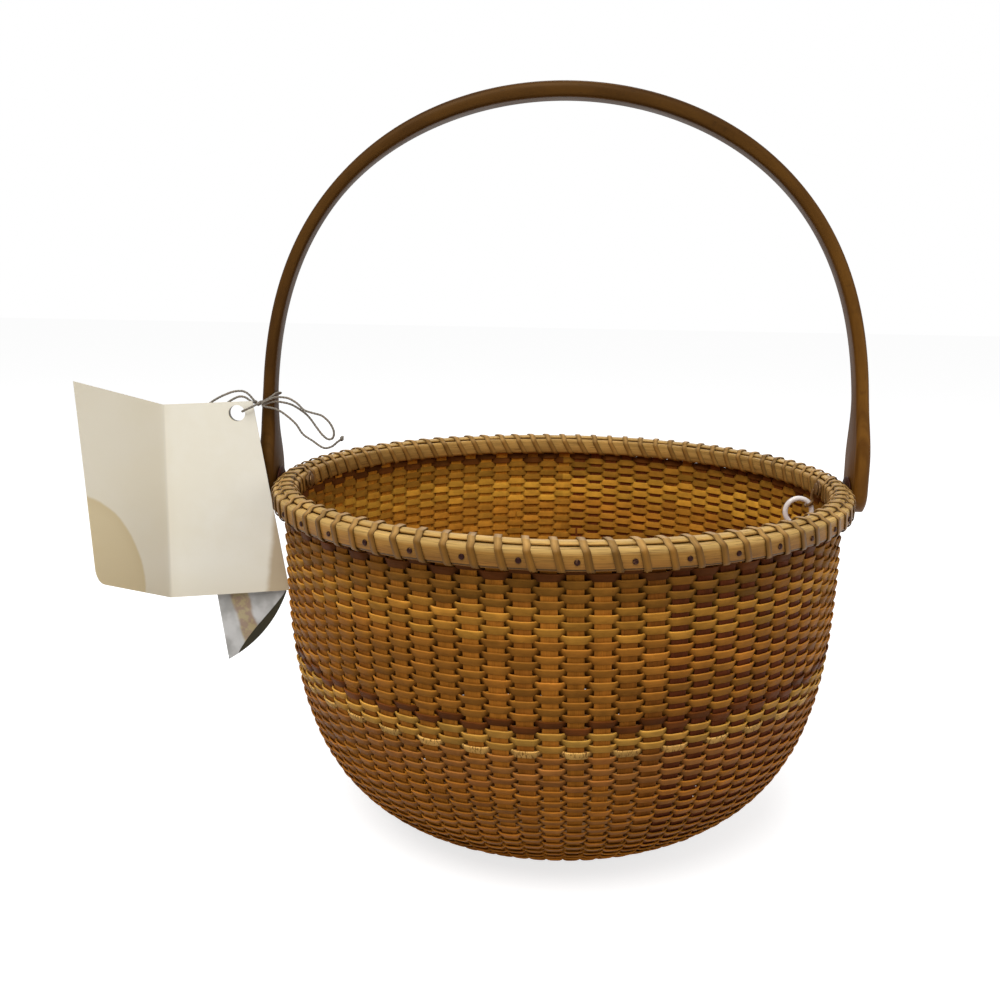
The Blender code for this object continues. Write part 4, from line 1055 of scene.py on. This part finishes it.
def makeHandle():
    span = handleBox[1].x - bow["thickness"] / 2
    rise = handleBox[1].z - bow["thickness"] / 2 - bow["pivotZ"]
    t = np.linspace(0.0, math.pi, bow["fineSteps"])
    fine = np.stack((span * np.cos(t), np.zeros_like(t),
                     bow["pivotZ"] + rise * np.sin(t) ** (2 / bow["heightPower"])), 1)
    line = evenSteps(fine, np.linalg.norm(np.diff(fine, axis=0), axis=1).sum() / bow["steps"])
    ahead = unit(np.gradient(line, axis=0))
    ahead[0], ahead[-1] = (0.0, 0.0, 1.0), (0.0, 0.0, -1.0)
    # each leg swells to its ear between two heights, the left one lower down
    leftSwell, rightSwell = (smoothStep(line[:, 2], *heights) for heights in bow["swell"])
    plain = np.where(line[:, 0] < 0, leftSwell, rightSwell)
    half = bow["earRadius"] + (bow["halfWidth"] - bow["earRadius"]) * plain
    turns = np.radians(np.linspace(*bow["tipTurns"], bow["tipSteps"]))
    drop, tipHalf = bow["earRadius"] * np.sin(turns), bow["earRadius"] * np.cos(turns)
    tip = np.stack((np.full(len(drop), span), np.zeros(len(drop)), bow["pivotZ"] - drop), 1)
    mirrored = tip[::-1] * np.array((-1.0, 1.0, 1.0))
    line = np.vstack((tip, line, mirrored))
    up = np.tile((0.0, 0.0, 1.0), (len(tip), 1))
    ahead = np.vstack((up, ahead, -up))
    half = np.concatenate((tipHalf, half, tipHalf[::-1]))
    across = np.tile((0.0, 1.0, 0.0), (len(line), 1))
    out = np.cross(across, ahead)
    # both legs are slimmer than the top and the ears, the left one more so
    slim = np.where(line[:, 0] < 0, bow["slim"][0], bow["slim"][1])
    slim = slim * smoothStep(line[:, 2], *bow["slimFrom"])
    slim = 1.0 - slim * (1.0 - smoothStep(line[:, 2], *bow["slimTo"]))
    section = bowSection(half * slim, bow["thickness"] / 2 * slim)
    points = sweep(line, out, across, section)
    run = runAlong(line)
    fibre = np.stack((np.broadcast_to(run[:, None], section.shape[:2]), section[..., 1],
                      section[..., 0] * bow["layerScale"]), -1)
    rings, sides = section.shape[:2]
    # darkest over the top, and paler down the right leg
    level = smoothStep(line[:, 2], bow["pivotZ"], handleBox[1].z)
    most, drop = bow["shade"]
    shade = most - drop * level + drop * (1.0 - level) * np.sign(line[:, 0])
    tint = np.broadcast_to(shade[:, None, None], points.shape)
    addPiece("bow_handle", points, [gridFaces(rings, sides), capFaces(rings, sides)], handleWood, "handle",
             ["handle"], fibre=fibre.reshape(-1, 3), tint=tint.reshape(-1, 3))


makeHandle()
print("handle made")


# board, washers, rivet, pin and keeper ring
turnedParts = {
    "boardEdge": 0.0016, "edgeSteps": 6, "grooveDepth": 0.006, "grooveHeight": 0.0021, "boardSteps": 144,
    "recessRadius": 0.048, "recessDepth": 0.0012, "recessSlope": (0.001, 0.0002),
    "layerScale": 40.0, "boreGap": 0.0002, "bevelShare": 0.25, "washerSteps": 72,
    "pinSteps": 48, "pinRadius": 0.0018, "headRadius": 0.004, "headHeight": 0.0013,
    "domeTurns": (75.0, 55.0, 35.0, 15.0, 0.0), "domeShare": 0.3,
    "peenRadius": 0.0028, "peenHeight": 0.001, "peenEdge": 0.0004, "peenGap": 0.0003,
    "eyeRadius": 0.002, "eyeWire": 0.0007, "eyeTilt": 41.0, "eyeSteps": 40, "wireSides": 12,
    "neckStart": 0.0014, "neckBow": 0.0006, "neckSteps": 12,
    "ringMajor": 0.006, "ringMinor": 0.0012, "ringSteps": 96, "ringSides": 20,
}


def turnedFibre(points, alongX):
    # fibre places for a turned piece: the board's grain runs along X, a washer's across its face
    flat = points.reshape(-1, 3)
    if alongX:
        return np.stack((flat[:, 0], flat[:, 1], flat[:, 2] * turnedParts["layerScale"]), 1)
    return np.stack((flat[:, 2], flat[:, 1], flat[:, 0] * turnedParts["layerScale"]), 1)


def makeBoard():
    # a turned disc with round edges, the stave groove and a shallow recess under it
    edge = turnedParts["boardEdge"]
    turns = np.radians(np.linspace(90.0, 0.0, turnedParts["edgeSteps"]))
    topEdge = np.stack((boardRadius - edge + edge * np.cos(turns), boardTop - edge + edge * np.sin(turns)), 1)
    foot = turns - math.pi / 2
    footEdge = np.stack((boardRadius - edge + edge * np.cos(foot), edge + edge * np.sin(foot)), 1)
    low = wallBox[0].z - fitGap
    high = low + turnedParts["grooveHeight"]
    groove = boardRadius - turnedParts["grooveDepth"]
    recess, depth = turnedParts["recessRadius"], turnedParts["recessDepth"]
    slopeWide, slopeHigh = turnedParts["recessSlope"]
    profile = np.vstack(([(0.0, boardTop), (boardRadius * 0.5, boardTop)], topEdge,
                         [(boardRadius, high), (groove, high), (groove, low), (boardRadius, low)], footEdge,
                         [(recess + slopeWide, 0.0), (recess, slopeHigh), (recess - depth, depth),
                          (0.0, depth)]))
    points, faces = turnedCapped(profile, turnedParts["boardSteps"])
    addPiece("turned_board", points, faces, boardWood, "basket", ["base_board"],
             fibre=turnedFibre(points, True), tint=np.ones_like(points))


def washerPiece(name, node, side, material):
    low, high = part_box(node)
    outerX, innerX = max(abs(low.x), abs(high.x)), min(abs(low.x), abs(high.x))
    radius = (high.z - low.z) / 2
    bore = turnedParts["pinRadius"] + turnedParts["boreGap"]
    bevel = (outerX - innerX) * turnedParts["bevelShare"]
    profile = [(radius - bevel, outerX), (radius, outerX - bevel), (radius, innerX + bevel),
               (radius - bevel, innerX), (bore, innerX), (bore, outerX)]
    points, faces = turned(profile, turnedParts["washerSteps"])
    laid = layAlongX(points, side, bow["pivotZ"])
    piece = addPiece(name, laid, [faces], material, "basket", [node], fibre=turnedFibre(laid, False),
                     tint=np.ones(laid.size))
    piece.data.set_sharp_from_angle(angle=math.radians(50.0))


def pinPiece(name, node, side):
    # a domed head outside the ear and a riveted end inside the clinch washer
    low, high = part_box(node)
    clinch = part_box(node.replace("pivot_rivet", "clinch_washer").replace("pivot_pin", "clinch_washer"))
    top = max(abs(low.x), abs(high.x))
    inner = min(abs(clinch[0].x), abs(clinch[1].x)) - turnedParts["peenGap"]
    headR, headH, pin = turnedParts["headRadius"], turnedParts["headHeight"], turnedParts["pinRadius"]
    peen, peenEnd = turnedParts["peenRadius"], inner - turnedParts["peenHeight"]
    turns, share = np.radians(turnedParts["domeTurns"]), turnedParts["domeShare"]
    dome = np.stack((headR * np.cos(turns), top - headH + headH * (share + (1.0 - share) * np.sin(turns))), 1)
    profile = np.vstack(([(0.0, top)], dome, [(headR, top - headH), (pin, top - headH), (pin, inner),
                         (peen, inner), (peen, inner - turnedParts["peenEdge"]), (pin, peenEnd),
                         (0.0, peenEnd)]))
    points, faces = turnedCapped(profile, turnedParts["pinSteps"])
    laid = layAlongX(points, side, bow["pivotZ"])
    piece = addPiece(name, laid, faces, paleBrass, "basket", [node])
    piece.data.set_sharp_from_angle(angle=math.radians(40.0))


def torusPoints(centre, major, minor, axisA, axisB, steps, sides):
    # a ring in the plane of two directions round a centre
    t = np.linspace(0.0, 2 * math.pi, steps, endpoint=False)[:, None, None]
    p = np.linspace(0.0, 2 * math.pi, sides, endpoint=False)[None, :, None]
    axisA, axisB = np.array(axisA), np.array(axisB)
    out = axisA * np.cos(t) + axisB * np.sin(t)
    return centre + out * (major + minor * np.cos(p)) + np.cross(axisA, axisB) * minor * np.sin(p)


def makePivots():
    for name, side in (("left", -1.0), ("right", 1.0)):
        washerPiece("spacer_" + name, "spacer_washer_" + name, side, darkWood)
        washerPiece("clinch_" + name, "clinch_washer_" + name, side, paleBrass)
    pinPiece("rivet_left", "pivot_rivet_left", -1.0)
    pinPiece("pin_right", "pivot_pin_right", 1.0)
    ringLow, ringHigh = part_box("keeper_ring")
    centre = np.array(((ringLow.x + ringHigh.x) / 2, 0.0, (ringLow.z + ringHigh.z) / 2))
    tilt = math.radians(turnedParts["eyeTilt"])
    outward = np.array((math.cos(tilt), 0.0, math.sin(tilt)))
    eye = centre + outward * turnedParts["ringMajor"]
    steps, sides, neckSteps = turnedParts["eyeSteps"], turnedParts["wireSides"], turnedParts["neckSteps"]
    wire = turnedParts["eyeWire"]
    eyePoints = torusPoints(eye, turnedParts["eyeRadius"], wire, outward, (0.0, 1.0, 0.0), steps, sides)
    neckTop = np.array((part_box("clinch_washer_right")[0].x - turnedParts["neckStart"], 0.0, bow["pivotZ"]))
    neckPath = np.linspace(neckTop, eye + outward * turnedParts["eyeRadius"], neckSteps)
    neckPath[:, 0] -= turnedParts["neckBow"] * np.sin(np.linspace(0.0, math.pi, neckSteps))
    side, face = lineFrames(neckPath, up=(0.0, 1.0, 0.0))
    turns = np.linspace(0.0, 2 * math.pi, sides, endpoint=False)
    ring = np.stack((np.cos(turns), np.sin(turns)), -1) * wire
    neckPoints = sweep(neckPath, side, face, np.broadcast_to(ring, (neckSteps, sides, 2)))
    first = steps * sides
    faces = [gridFaces(steps, sides, closedRings=True), gridFaces(neckSteps, sides) + first,
             capFaces(neckSteps, sides) + first]
    addPiece("pin_eye", np.concatenate((eyePoints.reshape(-1, 3), neckPoints.reshape(-1, 3))), faces,
             paleBrass, "basket", ["pivot_pin_right"])
    steps, sides = turnedParts["ringSteps"], turnedParts["ringSides"]
    ringPoints = torusPoints(centre, turnedParts["ringMajor"], turnedParts["ringMinor"], (1.0, 0.0, 0.0),
                             (0.0, 0.0, 1.0), steps, sides)
    addPiece("keeper", ringPoints, [gridFaces(steps, sides, closedRings=True)], whiteRing, "keeper",
             ["keeper_ring"])


makeBoard()
makePivots()
print("turned parts made")


# paper tag
tag = {
    "cardWidth": 0.0531, "cardHeight": 0.087, "cardThickness": 0.00045, "belly": 0.0012,
    "punchX": -0.1424, "punchZ": 0.178, "punchRadius": 0.0035,
    "openY": -0.0375, "foldY": -0.0142, "backY": -0.0122, "leafY": -0.0107, "leafThickness": 0.0003,
    "openEdge": ((-1.032, -0.809), (-1.085, 0.172)), "fold": ((-0.633, -0.962), (-0.588, 0.038)),
    "backEdge": ((0.367, -0.917), (0.128, 0.061)),
    "leafTop": ((0.09, 0.046), (-0.452, 0.03)), "leafBow": ((-0.188, -1.309), (0.333, -0.931)),
    "leafEdgeBow": 0.0038, "leafTipShare": 0.004, "leafRows": 25, "leafColumns": 31, "leafBand": 0.004,
    "bandSpan": (-0.12, 2.0), "bandPower": 0.8,
    "cornerShare": 0.07, "cornerStretch": 1.4, "columns": 40, "rows": 56, "rowCrowding": 1.6,
    "punchSteps": 48, "punchReach": 0.004,
    "mapScale": 100.0,   # the edge map holds hundredths of a metre
}
cardLook = {
    "openLeaf": (0.77, 0.71, 0.575), "backLeaf": (0.85, 0.805, 0.69), "cloud": (0.74, 0.66, 0.47),
    # tone: painted shade of the back leaf's curled low corner
    "stain": (0.6, 0.44, 0.17), "stainRim": (0.5, 0.38, 0.2), "tone": (0.4, 0.28, 0.14),
    "lowEdge": (0.62, 0.5, 0.3), "creaseShade": (0.6, 0.55, 0.44),
    "cloudDepth": 0.22, "stainDepth": 0.55, "stainRimDepth": 0.16, "toneDepth": 0.75, "lowEdgeDepth": 0.22,
    "creaseShadeDepth": 0.25, "ragged": 0.28,
    "stainReach": (0.66, 0.44), "stainPowers": (2.0, 2.4),   # an ellipse about the open leaf's low corner
    "cloudScale": 38.0, "pulpScale": 1400.0, "bump": 0.25, "bumpDistance": 0.00006,
}
leafLook = {
    "dark": (0.36, 0.35, 0.33), "light": (0.6, 0.59, 0.57), "markDark": (0.3, 0.18, 0.1),
    "markLight": (0.4, 0.3, 0.12), "bandDark": (0.012, 0.01, 0.003), "bandLight": (0.04, 0.03, 0.008),
    "markPlace": -0.4, "markSlant": 0.35, "markHalf": (0.085, 0.12), "markDepth": 0.8,
    "cloudScale": 90.0, "markScale": 400.0, "pulpScale": 1200.0, "bump": 0.1, "bumpDistance": 0.00005,
}


def tagSpot(shares, depth):
    return np.array((tag["punchX"] + shares[0] * tag["cardWidth"], depth,
                     tag["punchZ"] + shares[1] * tag["cardHeight"]))


def cardMaterial():
    # cream card; the map holds (0 to 1 over the open leaf and 1 to 2 over the back one, height)
    material, tree, shader = newMaterial("card_paper", Roughness=0.72, Specular_IOR_Level=0.25)
    spot = addNode(tree, "UVMap", {"uv_map": "spot"})["UV"]
    x, y, _ = addNode(tree, "SeparateXYZ", Vector=spot)
    coords = addNode(tree, "TexCoord")["Object"]
    clouds = noise(tree, coords, cardLook["cloudScale"], 4.0, 0.6)
    pulp = noise(tree, coords, cardLook["pulpScale"], 3.0)
    ragged = sums(tree, "MULTIPLY", sums(tree, "SUBTRACT", clouds, 0.5), cardLook["ragged"])
    colour = mixColours(tree, between(tree, x, 0.9, 1.12), (*cardLook["openLeaf"], 1.0),
                        (*cardLook["backLeaf"], 1.0))

    def layer(under, mask, key):
        depth = sums(tree, "MULTIPLY", mask, cardLook[key + "Depth"])
        return mixColours(tree, depth, under, (*cardLook[key], 1.0))

    colour = layer(colour, between(tree, clouds, 0.35, 0.65), "cloud")
    # brown stain in the open leaf's low corner: inside an ellipse, with a ragged edge
    terms = [sums(tree, "POWER", sums(tree, "DIVIDE", value, reach), power)
             for value, reach, power in zip((x, y), cardLook["stainReach"], cardLook["stainPowers"])]
    stainReach = sums(tree, "ADD", sums(tree, "ADD", *terms), ragged)
    stain = sums(tree, "SUBTRACT", 1.0, between(tree, stainReach, 0.93, 1.04))
    colour = layer(colour, stain, "stain")
    colour = layer(colour, sums(tree, "MULTIPLY", stain, between(tree, stainReach, 0.55, 1.0)), "stainRim")
    # painted shade along the back leaf's low outer edge, standing for the shade of a corner that curls away,
    # then a darker band along the foot of both
    tone = sums(tree, "ADD", sums(tree, "SUBTRACT", x, 1.8), sums(tree, "MULTIPLY", y, -0.42))
    tone = sums(tree, "ADD", tone, sums(tree, "MULTIPLY", ragged, 0.3))
    colour = layer(colour, between(tree, tone, -0.02, 0.05), "tone")
    lowEdge = between(tree, sums(tree, "ADD", y, ragged), -0.05, 0.16)
    colour = layer(colour, sums(tree, "SUBTRACT", 1.0, lowEdge), "lowEdge")
    # painted shade along the fold
    foldAway = sums(tree, "ABSOLUTE", sums(tree, "SUBTRACT", x, 1.0))
    colour = layer(colour, sums(tree, "SUBTRACT", 1.0, between(tree, foldAway, 0.0, 0.02)), "creaseShade")
    rough = sums(tree, "ADD", pulp, sums(tree, "MULTIPLY", clouds, 2.0))
    normal = addNode(tree, "Bump", Strength=cardLook["bump"], Distance=cardLook["bumpDistance"],
                     Height=rough)[0]
    setInputs(tree, shader, Base_Color=colour, Normal=normal)
    return material


def leafMaterial():
    # pale printed paper: a plain tan brush mark, and a dark olive band on the bowed edge
    material, tree, shader = newMaterial("leaf_paper", Roughness=0.5, Specular_IOR_Level=0.25)
    x, y, _ = addNode(tree, "SeparateXYZ", Vector=addNode(tree, "UVMap", {"uv_map": "spot"})["UV"])
    away, wide, _ = addNode(tree, "SeparateXYZ", Vector=addNode(tree, "UVMap", {"uv_map": "edge"})["UV"])
    coords = addNode(tree, "TexCoord")["Object"]
    clouds = noise(tree, coords, leafLook["cloudScale"], 3.0)
    colour = mixColours(tree, between(tree, clouds, 0.35, 0.65), (*leafLook["dark"], 1.0),
                        (*leafLook["light"], 1.0))
    slanted = sums(tree, "ADD", x, sums(tree, "MULTIPLY", y, leafLook["markSlant"]))
    mark = sums(tree, "ABSOLUTE", sums(tree, "SUBTRACT", slanted, leafLook["markPlace"]))
    mark = sums(tree, "ADD", mark, sums(tree, "MULTIPLY", clouds, 0.06))
    markMask = sums(tree, "SUBTRACT", 1.0, between(tree, mark, *leafLook["markHalf"]))
    brush = between(tree, noise(tree, coords, leafLook["markScale"], 3.0), 0.4, 0.6)
    markShade = mixColours(tree, brush, (*leafLook["markDark"], 1.0), (*leafLook["markLight"], 1.0))
    colour = mixColours(tree, sums(tree, "MULTIPLY", markMask, leafLook["markDepth"]), colour, markShade)
    band = between(tree, sums(tree, "SUBTRACT", wide, away), 0.0, 0.03)
    bandShade = mixColours(tree, clouds, (*leafLook["bandDark"], 1.0), (*leafLook["bandLight"], 1.0))
    colour = mixColours(tree, band, colour, bandShade)
    fine = noise(tree, coords, leafLook["pulpScale"])
    normal = addNode(tree, "Bump", Strength=leafLook["bump"], Distance=leafLook["bumpDistance"],
                     Height=fine)[0]
    setInputs(tree, shader, Base_Color=colour, Normal=normal)
    return material


def thickSheet(name, points, rings, sides, thickness, material, body, node, maps):
    # a grid with its two faces half the thickness to either side, and a rim of quads between them
    grid = points.reshape(rings, sides, 3)
    alongV, alongU = np.gradient(grid, axis=0), np.gradient(grid, axis=1)
    normal = unit(np.cross(alongU, alongV))
    offset = normal * thickness / 2
    both = np.concatenate(((grid + offset).reshape(-1, 3), (grid - offset).reshape(-1, 3)))
    quads = gridFaces(rings, sides, closedSides=False)
    index = np.arange(rings * sides).reshape(rings, sides)
    border = np.concatenate((index[0], index[1:, -1], index[-1, -2::-1], index[-2:0:-1, 0]))
    nextOne = np.roll(border, -1)
    count = rings * sides
    rimQuads = np.stack((border, border + count, nextOne + count, nextOne), 1)
    piece = addPiece(name, both, [quads, quads[:, ::-1] + count, rimQuads], material, body, [node])
    for key, values in maps.items():
        values = values.reshape(-1, 2)
        addSpots(piece, key, np.concatenate((values, values)))
    piece.data.set_sharp_from_angle(angle=math.radians(60.0))
    return piece


def punch(piece):
    # cuts the string's hole through a sheet along Y and keeps the cut mesh
    steps = tag["punchSteps"]
    turns = np.linspace(0.0, 2 * math.pi, steps, endpoint=False)
    ring = np.stack((tag["punchX"] + tag["punchRadius"] * np.cos(turns), np.zeros(steps),
                     tag["punchZ"] + tag["punchRadius"] * np.sin(turns)), 1)
    depths = (tag["openY"], tag["leafY"] + tag["punchReach"])
    points = np.concatenate([ring + np.array((0.0, depth, 0.0)) for depth in depths])
    mesh = bpy.data.meshes.new("punch")
    faces = gridFaces(2, steps).tolist() + capFaces(2, steps).tolist()
    mesh.from_pydata(points.tolist(), [], [f[::-1] for f in faces])
    mesh.update()
    cutter = bpy.data.objects.new("punch", mesh)
    bpy.context.scene.collection.objects.link(cutter)
    cut = piece.modifiers.new("punch", "BOOLEAN")
    cut.object = cutter
    cut.solver = "EXACT"
    graph = bpy.context.evaluated_depsgraph_get()
    made = bpy.data.meshes.new_from_object(piece.evaluated_get(graph), preserve_all_data_layers=True,
                                           depsgraph=graph)
    piece.modifiers.remove(cut)
    piece.data = made
    bpy.data.objects.remove(cutter)


def makeCard():
    # two leaves at a fold; each bellies a little towards the front, and the low open corner is round
    free, fold, back = ([tagSpot(s, y) for s in tag[key]] for key, y in
                        (("openEdge", tag["openY"]), ("fold", tag["foldY"]), ("backEdge", tag["backY"])))
    v = np.linspace(0.0, 1.0, tag["rows"] + 1) ** tag["rowCrowding"]
    u = np.linspace(0.0, 1.0, tag["columns"] + 1)
    corner = tag["cornerShare"]
    inset = corner * tag["cornerStretch"] * (1.0 - np.sqrt(1.0 - (1.0 - np.minimum(v / corner, 1.0)) ** 2))
    parts, spots = [], []
    for first, left, right, low in ((0, free, fold, inset), (1, fold, back, np.zeros_like(v))):
        uu = low[:, None] + (1.0 - low[:, None]) * u[None]
        uu = uu[:, 1:] if first else uu
        vv = np.broadcast_to(v[:, None], uu.shape)
        leftLine = left[0] + (left[1] - left[0]) * v[:, None]
        rightLine = right[0] + (right[1] - right[0]) * v[:, None]
        place = leftLine[:, None] + (rightLine - leftLine)[:, None] * uu[..., None]
        place[..., 1] -= tag["belly"] * np.sin(math.pi * uu) * np.sin(math.pi * vv)
        parts.append(place)
        spots.append(np.stack((uu + first, vv), -1))
    grid = np.concatenate(parts, axis=1)
    spot = np.concatenate(spots, axis=1)
    rings, sides = grid.shape[:2]
    card = thickSheet("folded_card", grid.reshape(-1, 3), rings, sides, tag["cardThickness"], cardMaterial(),
                      "tag", "tag_card", {"spot": spot})
    punch(card)


def makeLeaflet():
    # a flat leaf between its straight left side and the bowed edge, one row of points for each height
    low, high = (tagSpot(s, tag["leafY"]) for s in tag["leafBow"])
    topRight, topLeft = (tagSpot(s, tag["leafY"]) for s in tag["leafTop"])
    outwards = unit(np.array((high[2] - low[2], 0.0, low[0] - high[0])))
    share = np.linspace(0.0, 1.0, tag["leafRows"])[:, None]
    arc = low + (high - low) * share + outwards * tag["leafEdgeBow"] * 4 * share * (1 - share)
    side = high + (topRight - high) * share[1:]
    rightLine = np.vstack((arc, side))
    leftLine = low + (topLeft - low) * np.linspace(0.0, 1.0, len(rightLine))[:, None]
    leftLine[0] = low + (high - low) * tag["leafTipShare"]
    u = np.linspace(0.0, 1.0, tag["leafColumns"])
    grid = leftLine[:, None] + (rightLine - leftLine)[:, None] * u[None, :, None]
    # the dark band is widest halfway up the bowed edge and runs out at both ends
    along = np.clip(np.linspace(*tag["bandSpan"], len(rightLine)), 0.0, 1.0)
    bandWide = tag["leafBand"] * np.sin(math.pi * along ** tag["bandPower"])
    away = np.linalg.norm(grid - rightLine[:, None], axis=-1)
    spot = np.stack(((grid[..., 0] - tag["punchX"]) / tag["cardWidth"],
                     (grid[..., 2] - tag["punchZ"]) / tag["cardHeight"]), -1)
    # how far each point lies from the bowed edge, and the band's width there
    edge = np.stack(np.broadcast_arrays(away * tag["mapScale"], bandWide[:, None] * tag["mapScale"]), -1)
    rings, sides = grid.shape[:2]
    leaf = thickSheet("leaflet", grid.reshape(-1, 3), rings, sides, tag["leafThickness"], leafMaterial(),
                      "leaflet", "tag_leaflet", {"spot": spot, "edge": edge})
    punch(leaf)


makeCard()
makeLeaflet()
print("tag made")


# stage and light: white floor, soft lamps over and beside the camera
stage = {"floorSize": 6.0, "ambient": 0.42, "floorColour": 0.6, "floorGlow": 0.72, "aim": (0.0, 0.0, 0.12),
         "lamps": (("key", (-0.25, -0.7, 1.15), 0.9, 11.5), ("fill", (0.9, -0.6, 0.55), 0.9, 2.2),
                   ("back", (0.1, 0.9, 1.0), 0.8, 4.0))}


def makeStage():
    points = np.array(((-1, -1, 0), (1, -1, 0), (1, 1, 0), (-1, 1, 0)), float) * stage["floorSize"]
    mesh = bpy.data.meshes.new("floor")
    mesh.from_pydata(points.tolist(), [], [(0, 1, 2, 3)])
    floor = bpy.data.objects.new("floor", mesh)
    bpy.context.scene.collection.objects.link(floor)
    material, tree, shader = newMaterial("white_floor", Base_Color=(*[stage["floorColour"]] * 3, 1.0),
                                         Roughness=0.9, Specular_IOR_Level=0.0)
    seen = addNode(tree, "LightPath")
    seenRay = sums(tree, "MAXIMUM", seen["Is Camera Ray"], seen["Is Glossy Ray"])
    strength = sums(tree, "MULTIPLY", seenRay, stage["floorGlow"])
    glow = addNode(tree, "Emission", Color=(1.0, 1.0, 1.0, 1.0), Strength=strength)[0]
    both = addNode(tree, "AddShader", n0=shader.outputs[0], n1=glow)[0]
    tree.links.new(both, tree.nodes["Material Output"].inputs["Surface"])
    mesh.materials.append(material)
    world = bpy.data.worlds.new("studio")
    bpy.context.scene.world = world
    world.use_nodes = True
    tree = world.node_tree
    path = addNode(tree, "LightPath")
    seenRay = sums(tree, "MAXIMUM", path["Is Camera Ray"], path["Is Transmission Ray"])
    strength = addNode(tree, "MapRange", n0=seenRay, n1=0.0, n2=1.0, n3=stage["ambient"], n4=1.0)[0]
    background = tree.nodes["Background"]
    background.inputs["Color"].default_value = (1.0, 1.0, 1.0, 1.0)
    tree.links.new(strength, background.inputs["Strength"])


def makeLamps():
    for name, place, size, power in stage["lamps"]:
        data = bpy.data.lights.new(name, "AREA")
        data.shape = "DISK"
        data.size = size
        data.energy = power
        lamp = bpy.data.objects.new(name, data)
        bpy.context.scene.collection.objects.link(lamp)
        ahead = unit(np.array(stage["aim"]) - np.array(place))
        side = unit(np.cross(ahead, (0.0, 0.0, 1.0)))
        up = np.cross(side, ahead)
        turn = Matrix((side, up, -ahead)).transposed().to_4x4()
        lamp.matrix_world = Matrix.Translation(place) @ turn


makeStage()
makeLamps()
